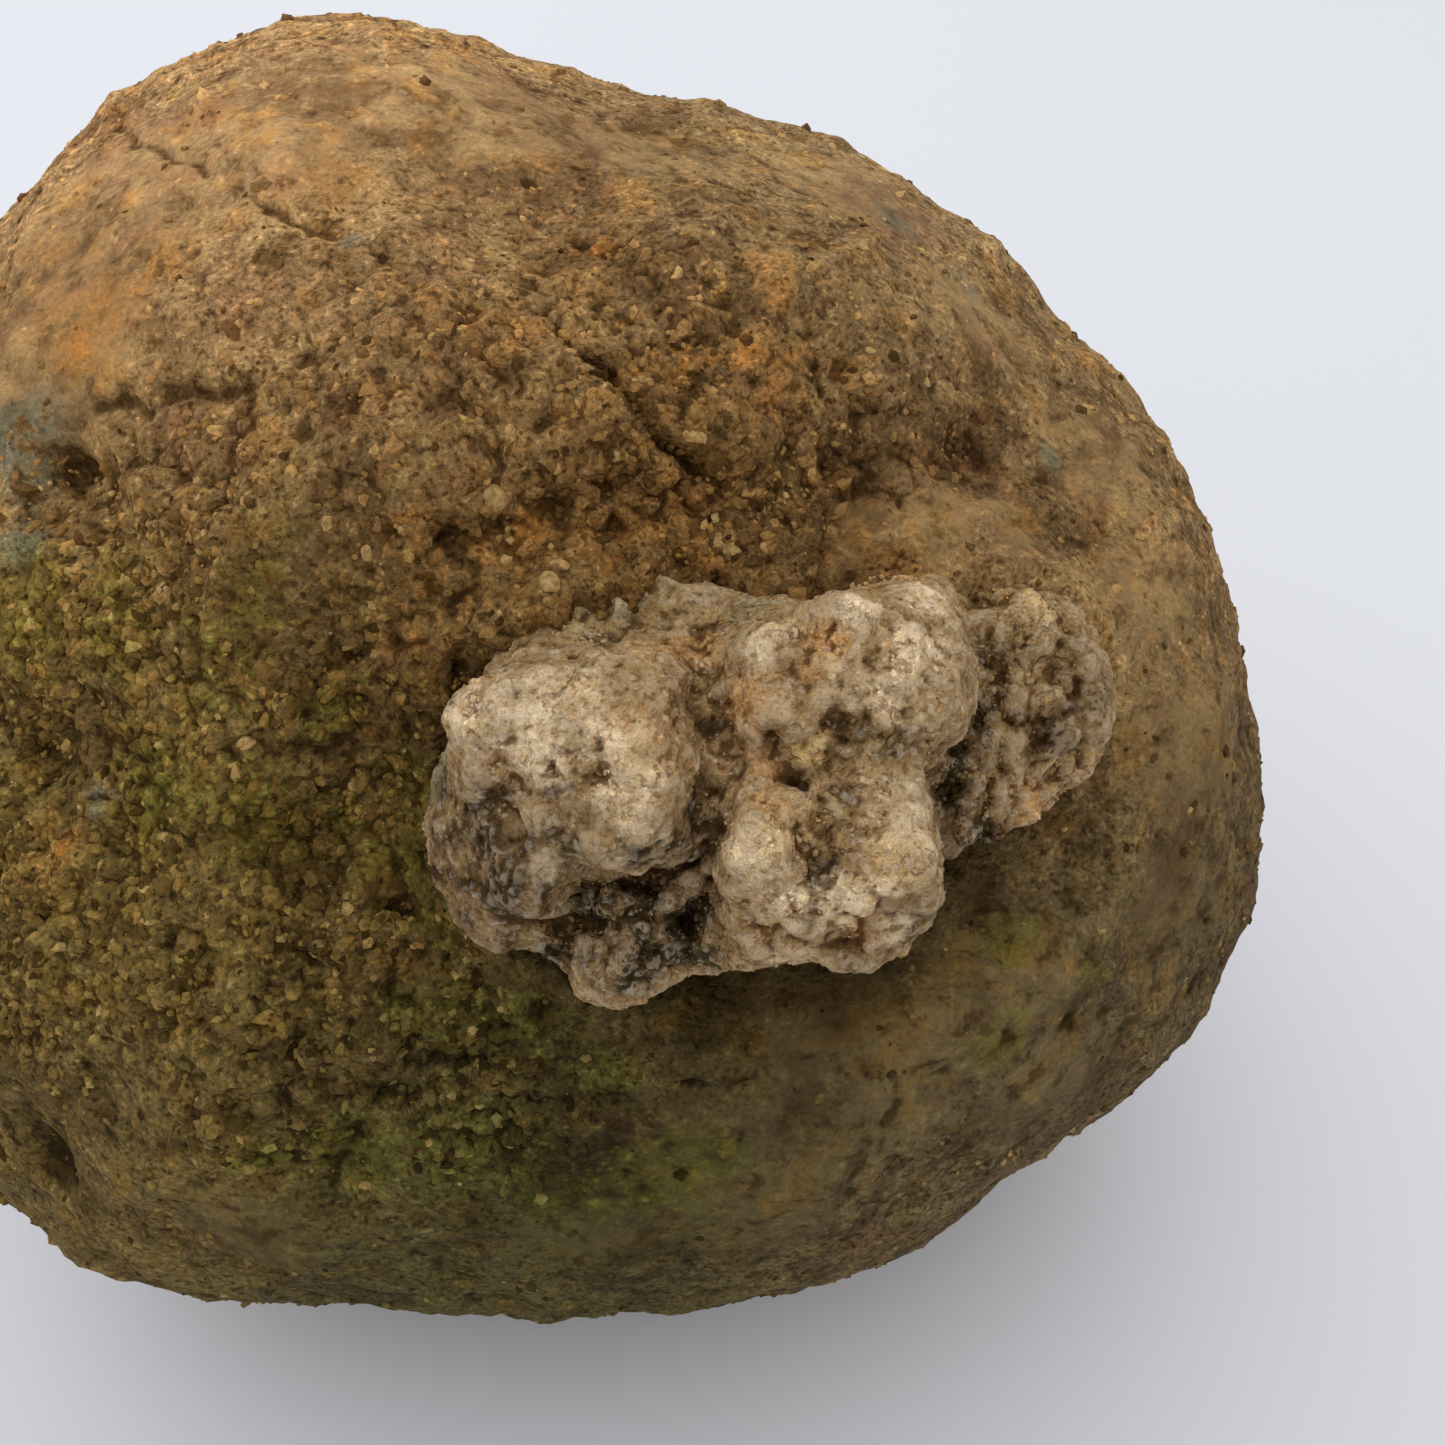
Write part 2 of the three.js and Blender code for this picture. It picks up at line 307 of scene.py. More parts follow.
# The socket of the quartz's root, across, up and out, and how far from the heart the rock closes over it.
ROOT_MIDDLE = np.array([22.0, -8.0, 41.0])
ROOT_HALF = np.array([22.0, 13.0, 12.0]) + 1.5
ROCK_FILL = 47.0
# Where the rock swells up to the quartz: the middle across the face, how far out it starts, and how wide.
COLLAR_ACROSS = 22.0
COLLAR_OUT = 25.0
COLLAR_HALF = (40.0, 35.0)

ROCK_SPOTS = {
    "dark hole in the left flank": (72, 468, 2.6, -2.6),
    "hole's upper lip": (110, 440, 3.0, 0.7),
    "grey patch": (22, 440, 5.0, 0.8),
    "orange-lipped hollow": (300, 355, 1.5, -1.3),
    "small hole beside it": (387, 388, 0.8, -0.8),
    "speck hole on the crown": (384, 202, 0.6, -0.6),
    "hole on the brow": (577, 240, 1.2, -1.2),
    "second hole on the brow": (603, 232, 0.9, -0.9),
    "dimple on the crown": (530, 183, 1.2, -0.9),
    "hole left of the quartz": (393, 905, 2.0, -1.4),
    "low hole in the chin": (850, 1250, 1.3, -0.9),
    "shadowed hollow at the left": (45, 745, 5.0, -2.0),
    "pit under the shelf": (118, 528, 1.3, -0.9),
    "hollow on the right shoulder": (965, 470, 5.0, -1.6),
    "bump on the right edge": (1252, 845, 2.2, 0.9),
    "orange lump": (432, 302, 2.2, 0.7),
    "dark hollow at the lower left": (55, 1160, 4.0, -1.4),
    "lump over the quartz": (690, 360, 2.6, 0.6),
    "lump on the brow": (775, 290, 2.4, 0.7),
    "swelling under the crown": (150, 300, 7.0, 0.6),
    "fleck hole": (502, 382, 0.8, -0.7),
    "corner gap over the left lobe": (466, 668, 1.6, -1.0),
}
ROCK_RUNS = {
    "shoulder crack": (0.55, -0.7, [(115, 125), (150, 150), (185, 163), (210, 176), (240, 190), (272, 208),
        (310, 226), (345, 232), (388, 264)]),
    "shelf on the left": (0.9, -1.0, [(103, 416), (128, 402), (170, 394), (215, 393), (260, 386)]),
    "shadow under the shelf": (1.2, -0.8, [(0, 735), (40, 735), (78, 745), (115, 752)]),
    "fissure": (0.65, -2.0, [(574, 342), (600, 357), (627, 388), (645, 419), (670, 446), (700, 470)]),
    "fissure's lip": (0.7, 0.6, [(560, 318), (580, 345), (604, 380), (628, 412)]),
    "crack below it": (0.45, -0.5, [(560, 425), (590, 444), (620, 470)]),
    "brow crack": (0.55, -0.7, [(480, 268), (520, 280), (556, 282), (590, 300)]),
    "short crack": (0.45, -0.5, [(300, 340), (335, 345), (362, 362), (385, 370)]),
    "hook crack": (0.45, -0.5, [(415, 308), (405, 330), (400, 350)]),
    "crack across the middle": (0.5, -0.6, [(306, 468), (336, 474), (367, 480)]),
    "dark seam over the quartz": (1.1, -0.9, [(560, 500), (600, 492), (640, 482), (700, 486), (760, 492)]),
    "edge over the collar": (0.9, -1.6, [(500, 640), (520, 614), (548, 598), (575, 584), (600, 575),
        (645, 574), (690, 578), (725, 592), (765, 590), (795, 580)]),
    "seam over the edge": (0.6, -1.2, [(560, 560), (596, 555), (640, 558), (713, 560)]),
    "undercut over the left lobe": (0.7, -0.7, [(415, 676), (445, 660), (480, 645)]),
    "lower crack": (0.5, -0.8, [(481, 1109), (530, 1104), (588, 1097), (640, 1092), (680, 1087),
        (740, 1078), (814, 1062)]),
    "upright crack": (0.4, -0.35, [(737, 1090), (738, 1150), (734, 1250)]),
    "seam in the chin": (0.5, -0.7, [(745, 1191), (790, 1197), (833, 1194), (872, 1186)]),
    "slanting crack": (0.45, -0.5, [(424, 1031), (400, 1070), (370, 1110), (344, 1161), (325, 1212)]),
    "trough on the right": (1.6, -0.7, [(1100, 1012), (1040, 1030), (960, 1048), (905, 1095), (880, 1150),
        (850, 1190)]),
    "vein beside the trough": (0.5, 0.35, [(948, 1060), (915, 1090), (892, 1130), (870, 1170)]),
    "crack at the left": (0.6, -0.7, [(170, 945), (215, 930), (250, 928)]),
    "ridge in the chin": (2.2, 0.9, [(235, 960), (205, 1040), (222, 1105), (212, 1170)]),
    "trough beside it": (2.0, -0.9, [(300, 900), (290, 990), (300, 1080), (290, 1150)]),
    "next ridge": (1.8, 0.8, [(385, 900), (370, 990), (372, 1060)]),
    "low trough": (1.6, -0.9, [(569, 984), (514, 1039), (441, 1066), (367, 1103), (330, 1167)]),
    "ridge across the middle": (2.0, 0.7, [(300, 420), (400, 440), (500, 430), (560, 460)]),
    "step over the quartz": (1.6, -0.9, [(400, 520), (470, 540), (530, 520), (600, 530), (700, 520)]),
    "crack above the chin": (0.5, -0.6, [(240, 1010), (275, 985), (310, 965)]),
}
# Broad swellings of the rock towards the quartz.
ROCK_RISES = {
    "to the collar": (3.6, 3.2, [(510, 625), (560, 600), (600, 586), (650, 580), (700, 580), (750, 578)]),
    "seat of the collar": (1.6, -1.8, [(578, 606), (605, 600), (640, 598)]),
    "whole fissure": (0.5, -1.1, [(548, 305), (574, 342), (600, 357), (627, 388), (645, 419), (670, 446),
        (700, 470)]),
    "behind the crest": (6.5, 3.2, [(760, 566), (800, 550), (850, 536), (900, 528), (960, 540)]),
}
ROCK_RUGGED = [(540, 560, 6), (440, 640, 6), (600, 550, 6), (330, 420, 8), (460, 500, 8), (700, 330, 7),
    (850, 420, 7), (420, 330, 9), (520, 420, 12), (620, 300, 9), (640, 500, 12), (740, 420, 12),
    (800, 520, 9), (480, 590, 9), (380, 620, 7), (900, 460, 7), (250, 460, 9)]
ROCK_COARSE = [(400, 800, 9), (350, 950, 9), (480, 1100, 9), (30, 1000, 10), (100, 600, 14), (60, 700, 14),
    (180, 780, 16), (60, 880, 14), (300, 900, 12), (200, 980, 13), (330, 760, 12), (130, 520, 9),
    (420, 1000, 9), (250, 1080, 13), (620, 470, 8), (720, 530, 8)]
ROCK_SMOOTH = [(120, 200, 15), (300, 110, 14), (60, 330, 12), (860, 1080, 14), (750, 1180, 14),
    (1000, 1000, 12), (480, 110, 13), (640, 150, 10), (850, 190, 10), (980, 320, 8), (1100, 450, 8),
    (1150, 600, 8), (1200, 750, 10), (1180, 900, 10), (1050, 1080, 10), (600, 1230, 9), (250, 1230, 8),
    (850, 535, 4), (930, 530, 4), (1000, 540, 4)]
# Where the rock is stained the colour of the quartz's edge.
ROCK_HOOD = [(835, 545, 3.5), (870, 530, 4), (910, 525, 4.5), (950, 530, 4.5), (990, 545, 4),
    (1030, 560, 3.5), (880, 560, 4), (930, 560, 4), (560, 600, 1.5), (790, 590, 2.0), (1070, 575, 2.5)]

# Base colours of the rock's areas, each spreading softly into the next: x, y and the colour. Those low on
# the face and under the quartz are darkest, partly the rock's own tone and partly painted shade.
GROUND_REACH = 13.0
GROUND_TINT = np.array([1.01, 1.04, 1.17])
HOOD_COLOUR = paint(150, 122, 82)
GROUND = {
    "crown": (330, 100, (188, 150, 98)),
    "left shoulder": (110, 250, (192, 150, 98)),
    "left flank": (50, 400, (138, 110, 64)),
    "upper middle": (400, 290, (166, 130, 82)),
    "brow": (640, 200, (142, 112, 70)),
    "upper right": (860, 190, (168, 138, 92)),
    "right shoulder": (1010, 400, (142, 114, 72)),
    "right cheek": (1140, 560, (154, 124, 80)),
    "right flank": (1180, 850, (100, 84, 52)),
    "above the quartz": (640, 470, (120, 92, 52)),
    "left of the quartz": (330, 610, (114, 92, 52)),
    "low left flank": (70, 860, (124, 104, 54)),
    "left chin": (110, 1100, (112, 94, 52)),
    "under the quartz": (700, 1060, (86, 72, 40)),
    "chin": (480, 1220, (84, 76, 42)),
    "lower right": (980, 1130, (108, 92, 60)),
}
BACK_GROUND = {
    "back": ((0.0, 62.0, 60.0), (150, 116, 76)),
    "back left": ((-60.0, 30.0, 50.0), (138, 108, 70)),
    "back right": ((60.0, 35.0, 60.0), (140, 110, 72)),
    "underside": ((0.0, 0.0, 0.0), (108, 88, 58)),
}
MOSS = [(245, 600, 5), (262, 560, 3), (225, 668, 5), (200, 640, 4), (400, 790, 5), (350, 815, 4),
    (400, 840, 5), (540, 1045, 6), (500, 1020, 4), (590, 1075, 5), (560, 1190, 7), (350, 1150, 6),
    (260, 1150, 4), (650, 1180, 7), (440, 1010, 5), (330, 700, 4), (110, 620, 6), (30, 610, 7),
    (150, 790, 6), (260, 820, 6), (700, 1150, 5), (1010, 930, 3), (1090, 970, 3), (1000, 1040, 4),
    (470, 1150, 7), (420, 920, 4)]
RUST = [(430, 560, 5), (520, 560, 4), (600, 560, 4), (470, 610, 3), (560, 590, 2.5), (420, 700, 2),
    (820, 520, 4), (770, 290, 3), (680, 370, 4), (765, 380, 4.5), (865, 225, 2.5), (845, 197, 2.5),
    (385, 395, 1.5), (290, 385, 1.8), (432, 302, 2.2), (310, 165, 3), (330, 175, 3), (620, 215, 2),
    (540, 205, 1.8), (400, 625, 1.8), (385, 660, 1.6), (700, 520, 4), (650, 490, 4), (90, 300, 7),
    (40, 270, 6), (150, 260, 5), (470, 180, 4), (500, 330, 3), (600, 250, 4), (1000, 600, 4), (40, 850, 4),
    (60, 830, 4)]
CHALCEDONY = [(20, 440, 5.0), (30, 480, 3), (18, 548, 2.6), (906, 229, 2.6), (890, 215, 1.8),
    (962, 291, 2.0), (1048, 458, 1.6), (350, 238, 1.4), (370, 258, 1.0), (572, 335, 1.2), (585, 352, 1.0),
    (60, 770, 1.6), (95, 800, 2.0), (546, 108, 1.2), (560, 600, 2.5), (640, 596, 3), (770, 604, 2.5)]
# Where the rock is darkened with painted shade: its crevices and hollows, and under and beside the quartz.
ROCK_PAINTED_SHADE = [(430, 655, 2.0), (480, 640, 2.0), (560, 570, 1.6), (640, 560, 1.8), (500, 600, 1.4),
    (700, 500, 2.5), (85, 465, 2.4), (72, 468, 2.0), (35, 745, 4), (960, 455, 5), (1000, 420, 3),
    (700, 1010, 6), (850, 990, 5), (970, 880, 4), (560, 1160, 6), (420, 860, 4), (395, 905, 2.5),
    (470, 655, 3), (50, 1165, 4), (760, 560, 2.5), (470, 610, 2), (300, 850, 5), (560, 250, 3),
    (1040, 520, 4), (850, 480, 4)]


def rock_base():
    """A fine ball pushed out from the nodule's heart to the CAD rock, closest meshed where the face is."""
    solid = merged_copy("host_rock")
    tree = BVHTree.FromBMesh(solid)
    solid.free()
    ball = bmesh.new()
    bmesh.ops.create_icosphere(ball, subdivisions=1, radius=1.0)
    bmesh.ops.subdivide_edges(ball, edges=ball.edges, cuts=ROCK_CUTS, use_grid_fill=True)
    heart, shift = Vector(HEART * MM), Vector(ROCK_CROWDING * OUT)
    for vert in ball.verts:
        vert.co = tree.ray_cast(heart, vert.co.normalized() + shift)[0]
    mesh = bpy.data.meshes.new("rock_surface")
    ball.to_mesh(mesh)
    ball.free()
    points, edges, _ = mesh_arrays(mesh)
    in_root = np.sum(((on_face(points) - ROOT_MIDDLE) / ROOT_HALF) ** 2, axis=1) < 1.0
    spoke = points - HEART
    filled = HEART + spoke / np.linalg.norm(spoke, axis=1)[:, None] * ROCK_FILL
    points = np.where(in_root[:, None], filled, points)
    put_points(mesh, relax(points, edges, ROCK_ROUNDING))
    return mesh


def collar_lift(points, knob_tree):
    """How far the rock swells up to meet the quartz, so that the quartz grows out of it with no gap."""
    lift = np.zeros(len(points))
    face = on_face(points)
    across = face[:, 0] - COLLAR_ACROSS
    near = (np.abs(across) < COLLAR_HALF[0]) & (np.abs(face[:, 1]) < COLLAR_HALF[1])
    near &= face[:, 2] > COLLAR_OUT
    reach = 1.6 + 3.4 * soft(face[:, 1] + 0.12 * across, -12.0, 2.0)
    for i in np.flatnonzero(near):
        away = knob_tree.find_nearest(Vector(points[i]))[3]
        if away < reach[i]:
            lift[i] = 0.8 * reach[i] * (1.0 - math.sqrt(1.0 - (1.0 - away / reach[i]) ** 2))
    return lift


def rock_relief(mesh, knob_tree):
    """Gives the rock its lumps, cracks and crumbly surface, and keeps its colours and its painted shade on
    it.
    """
    points, edges, outward = mesh_arrays(mesh)
    tree = tree_of(mesh)
    rough_points = wandering(points, 4.0, 0.9)
    rugged = patches(rough_points, tree, ROCK_RUGGED)
    coarse = patches(rough_points, tree, ROCK_COARSE)
    calm = patches(rough_points, tree, ROCK_SMOOTH)
    back = soft(on_face(points)[:, 2], 15.0, -10.0)
    vigour = 1.0 + 0.7 * rugged + 0.2 * coarse - 0.45 * calm
    fading = soft(ripple(points / 3.0, 70), -0.6, 0.5)
    cracks = runs_lift(rough_points, tree, ROCK_RUNS) * fading
    lift = spots_lift(rough_points, tree, ROCK_SPOTS) + cracks + runs_lift(points, tree, ROCK_RISES)
    # Broad swells, broken faces, valleys, chips, grains side by side, and deep creases where it is rugged.
    relief = 0.5 * cloudy(points, 14.0, 2, 1) + 0.4 * cloudy(points, 5.5, 2, 81)
    crumbly = wandering(points, 1.8, 0.4, 44)
    relief -= vigour * 0.8 * faceted(rough_points, 7.0, 5)
    relief += vigour * 0.5 * (creased(rough_points, 3.4, 3, 15) - 0.4)
    relief += (0.08 + 0.3 * coarse + 0.5 * rugged) * faceted(crumbly, 2.6, 25)
    relief += (0.75 * coarse + 0.3 * rugged) * (packed(crumbly, 2.2, 5) - 0.6)
    relief += 0.8 * np.maximum(rugged, 0.6 * coarse) * (creased(rough_points, 6.0, 2, 75) - 0.4)
    lift += relief - np.average(relief)
    lift += collar_lift(points, knob_tree)
    points = points + outward * lift[:, None]
    points[:, 2] = np.maximum(points[:, 2], 0.0)
    outward = put_points(mesh, points)
    keep_hollow(mesh, points, edges, outward, (4, 0.14), (40, 0.6))
    ground = np.zeros((len(points), 3))
    total = np.zeros(len(points))
    shaken = wandering(points, 10.0, 4.0, 50)
    areas = [(seen(tree, x, y), colour) for x, y, colour in GROUND.values()]
    areas += [(np.array(place), colour) for place, colour in BACK_GROUND.values()]
    for place, colour in areas:
        share = np.exp(-np.sum((shaken - place) ** 2, axis=1) / (2.0 * GROUND_REACH ** 2)) + 1e-9
        ground += share[:, None] * np.array(paint(*colour))
        total += share
    ground *= GROUND_TINT / total[:, None]
    hood = 0.85 * patches(wandering(points, 2.5, 0.9, 55), tree, ROCK_HOOD)[:, None]
    ground = ground * (1.0 - hood) + np.array(HOOD_COLOUR) * hood
    keep(mesh, "ground", ground)
    keep(mesh, "calm", np.maximum(calm, 0.7 * back * soft(cloudy(points, 20.0, 2, 91), -0.2, 0.3)))
    shaken = wandering(points, 5.0, 1.8, 60)
    green_back = 0.3 * back * soft(cloudy(points, 22.0, 3, 31), 0.1, 0.5)
    rusty_back = 0.5 * back * soft(cloudy(points, 14.0, 3, 37), 0.15, 0.5)
    keep(mesh, "moss", patches(shaken, tree, MOSS) * (1.0 - back) + green_back)
    keep(mesh, "rust", patches(shaken, tree, RUST) + rusty_back)
    keep(mesh, "grey", patches(shaken, tree, CHALCEDONY))
    # Painted shade: darker in the patches listed above and along the cracks.
    keep(mesh, "dark", np.maximum(patches(shaken, tree, ROCK_PAINTED_SHADE), soft(-cracks, 0.15, 1.0)))
    keep(mesh, "coarse", np.maximum(coarse, 0.4 * back))
    keep(mesh, "rugged", rugged)


# ---------------------------------------------------------------- the quartz
KNOB_VOXEL = 0.305
KNOB_FLOOR = 37.0
KNOB_ROUNDING = 30
SPLINTER_PASSES = 5
SPLINTER_LOW = 0.16
SPLINTER_TALL = 0.34
KNOB_BASE = paint(172, 140, 96)
KNOB_TINT = np.array([0.985, 1.0, 1.05])
KNOB_SPOTS = {
    "left tip": (462, 714, 2.4, 0.3),
    "face hollow": (592, 775, 1.6, -0.6),
    "dark pit": (551, 768, 0.9, -0.5),
    "rusty pit": (552, 797, 0.9, -0.3),
    "small pit a": (505, 728, 0.4, -0.4),
    "small pit b": (514, 739, 0.4, -0.4),
    "small pit c": (566, 727, 0.4, -0.35),
    "small pit d": (597, 733, 0.4, -0.35),
    "peach bulge": (635, 752, 3.0, 0.6),
    "bulge over the crevice": (640, 825, 2.6, 0.5),
    "hollow over the foot": (556, 834, 2.6, -1.1),
    "foot": (545, 872, 3.4, 0.5),
    "bead left of the foot": (548, 950, 1.5, 0.5),
    "bottom lobe": (625, 962, 4.6, 1.0),
    "left block in the crevice": (615, 908, 2.2, 1.5),
    "middle block in the crevice": (660, 895, 2.0, 1.4),
    "upper block in the crevice": (690, 868, 1.8, 1.0),
    "chamfer of the left lobe": (700, 838, 2.4, -0.7),
    "chin bead": (702, 974, 1.4, 0.6),
    "chin bead b": (684, 950, 1.2, 0.3),
    "chin gap": (694, 912, 1.1, -0.8),
    "pit in the top": (848, 658, 0.5, -0.5),
    "pit in the top b": (868, 661, 0.5, -0.7),
    "pit in the top c": (870, 694, 0.4, -0.5),
    "pit by the ridge": (905, 616, 0.6, -0.4),
    "pocket's foot": (797, 782, 1.3, -0.8),
    "pale crystal": (809, 750, 1.5, 0.8),
    "bridge over the pocket": (775, 715, 1.8, 0.4),
    "grey hollow": (845, 738, 4.0, -0.4),
    "swelling below the hollow": (800, 800, 3.0, 0.8),
    "dark gap": (823, 800, 1.2, -0.8),
    "bright left bulge": (768, 858, 3.4, 0.7),
    "bright right bulge": (905, 850, 3.8, 0.5),
    "upper right bulge": (915, 790, 2.4, 0.5),
    "notch": (885, 815, 1.0, -0.6),
    "black dot": (728, 875, 0.55, -0.9),
    "chin hollow": (832, 950, 1.2, -0.3),
    "chin swelling": (770, 940, 2.6, 0.4),
    "yellow top of the back lump": (1036, 614, 2.8, 0.9),
    "left of it": (1000, 640, 1.6, 0.5),
    "lump under it": (1022, 700, 2.0, 0.5),
    "lump beside the rim": (1064, 752, 2.0, 0.5),
    "hole in the back lump": (1055, 672, 1.3, -1.1),
    "hole beside it": (1015, 664, 0.9, -0.6),
    "dusky hollow": (1042, 730, 2.6, -0.7),
    "low bulge of the back lump": (1030, 808, 3.0, 0.8),
    "green bead": (985, 758, 2.4, 0.9),
    "green bead b": (948, 772, 1.8, 0.5),
    "green bead c": (952, 858, 2.4, 0.6),
}
KNOB_RUNS = {
    "left ridge": (0.9, 0.5, [(455, 706), (490, 690), (535, 676), (585, 668), (640, 660)]),
    "edge of the lit face": (1.0, 0.45, [(463, 728), (500, 775), (530, 805), (548, 835)]),
    "groove right of the left lobe": (1.2, -0.35, [(703, 645), (705, 690), (712, 722), (706, 760),
        (712, 800), (718, 836)]),
    "crevice's lip": (0.8, -0.9, [(585, 892), (612, 886), (640, 874), (672, 860), (700, 846), (716, 834)]),
    "under the foot": (0.7, -0.8, [(535, 925), (560, 926), (590, 921), (625, 926)]),
    "gap beside the blocks": (0.7, -0.9, [(664, 918), (690, 925), (708, 905), (712, 880)]),
    "gap between the blocks": (0.5, -0.7, [(640, 885), (646, 905), (640, 924)]),
    "left of the bottom lobe": (0.7, -0.6, [(562, 925), (558, 950), (562, 978)]),
    "bottom lobe's bright edge": (0.6, 0.5, [(572, 935), (569, 960), (580, 985)]),
    "right of the bottom lobe": (0.9, -0.7, [(690, 930), (688, 955), (682, 978)]),
    "top ridge": (1.3, 0.8, [(770, 634), (800, 622), (830, 612), (856, 607), (876, 612)]),
    "groove in the top": (0.9, -0.6, [(884, 606), (890, 635), (894, 655)]),
    "far ridge": (1.2, 0.4, [(905, 590), (945, 590), (968, 608)]),
    "valley between the bulges": (1.3, -0.6, [(812, 826), (812, 865), (820, 905)]),
    "crack to the right bulge": (0.5, -0.6, [(885, 824), (858, 838), (836, 848), (822, 868)]),
    "edge under the left bulge": (0.6, 0.4, [(730, 884), (765, 903), (795, 930)]),
    "crack on the shelf": (0.35, -0.4, [(638, 645), (646, 665), (632, 688), (602, 694)]),
    "crack on the shelf b": (0.35, -0.3, [(690, 650), (705, 668), (702, 690)]),
    "crack right of the groove": (0.4, -0.35, [(722, 672), (760, 680), (790, 672)]),
    "rim of the back lump": (1.1, 0.5, [(1066, 600), (1084, 640), (1098, 690), (1102, 740), (1084, 784)]),
    "groove inside the rim": (0.8, -0.5, [(1066, 640), (1074, 700), (1082, 745), (1064, 776)]),
    "pocket": (0.7, -0.9, [(768, 738), (778, 752), (784, 766), (798, 786)]),
    "collar": (2.2, 0.8, [(680, 612), (720, 612)]),
    "crack in the back lump": (0.6, -0.6, [(985, 640), (1000, 668), (985, 690), (975, 720)]),
    "under the green bead": (0.7, -0.7, [(950, 800), (985, 795), (1005, 770)]),
}
# Swellings and hollows that go straight out of the face instead of along the quartz's own surface.
KNOB_SADDLES = {
    "behind the crest": (2.0, -3.2, [(748, 604), (775, 592), (805, 584), (840, 574), (880, 566),
        (915, 556)]),
    "left flank": (2.8, 2.4, [(466, 768), (488, 800), (498, 840), (500, 885)]),
    "skirt": (2.4, 1.0, [(450, 830), (470, 890), (505, 930)]),
    "beside the far ridge": (1.6, -2.0, [(965, 572), (985, 600)]),
}
# Swellings that go up the face.
KNOB_SLOPES = {
    "roof of the left lobe": (3.8, 3.2, [(515, 664), (550, 650), (600, 642), (636, 639)]),
    "bottom of the left lobe": (2.0, -1.2, [(600, 848), (640, 856), (680, 846)]),
    "collar": (2.4, 1.0, [(545, 650), (600, 638), (660, 630), (720, 616), (760, 606)]),
}
KNOB_BEADS = [(600, 900, 3.5), (650, 900, 3.5), (690, 900, 3), (700, 950, 4), (960, 780, 3), (980, 840, 4),
    (620, 960, 3.5), (1000, 670, 3)]
KNOB_LUMPY = [(1030, 690, 7), (1040, 790, 6), (640, 955, 5), (780, 950, 4), (860, 930, 4), (970, 800, 4),
    (640, 895, 4)]
KNOB_SMOOTH = [(430, 790, 6), (440, 880, 5), (480, 930, 5), (600, 610, 5), (700, 615, 5), (780, 600, 5),
    (540, 640, 4), (470, 860, 4), (905, 850, 3), (560, 720, 5), (500, 710, 4), (640, 740, 4), (600, 800, 3),
    (650, 690, 4), (530, 760, 3), (760, 870, 3), (780, 925, 3.5), (900, 800, 3), (920, 640, 3),
    (640, 650, 4), (530, 870, 4)]
# Pale quartz, partly painted highlight where the lobes and bulges face the light.
PALE_AND_HIGHLIGHT_PATCHES = [(468, 715, 2.6), (500, 705, 3), (540, 700, 3), (580, 715, 3), (600, 750, 2.5), (620, 800, 2.6),
    (530, 750, 3), (580, 690, 2.5), (655, 780, 1.6), (640, 815, 2), (760, 860, 2.8), (745, 850, 2),
    (880, 800, 2), (905, 835, 2.4), (920, 800, 2.2), (930, 850, 1.6), (860, 612, 1.8), (920, 650, 3),
    (900, 690, 2.6), (930, 600, 3), (780, 905, 2.6), (840, 905, 2.6), (890, 930, 2), (800, 960, 2),
    (880, 885, 1.6), (545, 870, 1.4), (760, 640, 2), (840, 680, 2)]
PEACH = [(625, 722, 2.0), (655, 750, 2.2), (640, 775, 2), (670, 720, 1.6), (690, 650, 3), (640, 650, 3),
    (745, 700, 3), (770, 760, 2), (770, 800, 2), (900, 640, 2), (830, 640, 2.5), (870, 930, 2.2),
    (1040, 800, 2.5), (880, 870, 1.5), (820, 660, 2), (900, 575, 3), (840, 580, 4)]
YELLOW = [(632, 755, 1.8), (1036, 614, 3), (1000, 600, 1.6), (770, 838, 2.0), (735, 850, 1.4),
    (900, 855, 2.4), (432, 742, 1.6), (808, 752, 1.6), (660, 855, 1.4), (1046, 700, 1)]
# Grey-brown quartz, partly painted shade on the shadowed foot, skirt and lower left face.
GREY_AND_SHADE_PATCHES = [(600, 838, 2.6), (632, 862, 2.6), (905, 920, 3.2), (870, 948, 3), (905, 742, 2.6), (500, 900, 4),
    (540, 870, 3), (560, 900, 3), (625, 945, 3), (660, 930, 3), (500, 810, 2.5), (530, 840, 2.5),
    (575, 830, 2.2), (560, 790, 1.5), (1040, 730, 3), (1080, 660, 3), (620, 850, 3), (660, 860, 2.4),
    (620, 970, 4), (650, 960, 3), (990, 700, 3), (845, 735, 2.6), (560, 840, 2.4), (540, 880, 2),
    (500, 850, 3), (480, 800, 3), (700, 790, 2), (820, 870, 2), (850, 800, 2), (1060, 730, 3),
    (1085, 700, 3), (800, 910, 2), (1010, 650, 2.5), (700, 930, 3)]
GREENISH = [(945, 810, 3), (965, 745, 2.4), (955, 850, 3), (640, 905, 3.5), (700, 900, 3), (680, 940, 3),
    (690, 825, 2.4), (665, 850, 2), (640, 840, 2), (620, 960, 4), (640, 900, 4), (985, 758, 2.6),
    (950, 780, 3), (950, 860, 3), (590, 900, 3), (690, 900, 3), (720, 960, 3), (980, 830, 3)]
BROWN = [(470, 840, 4), (490, 805, 2.6), (440, 830, 2.4), (500, 920, 4.5), (540, 960, 3.5), (470, 900, 4.5),
    (430, 870, 2.4), (510, 850, 2.5), (450, 780, 2), (530, 910, 3), (708, 730, 1.2), (560, 795, 1.4),
    (500, 935, 3), (520, 900, 4), (450, 860, 4), (480, 880, 4), (550, 768, 1.2), (985, 605, 1.6),
    (980, 660, 2), (700, 860, 2.4), (780, 745, 1.6), (795, 780, 1.6), (830, 950, 1.6), (840, 840, 1.6)]
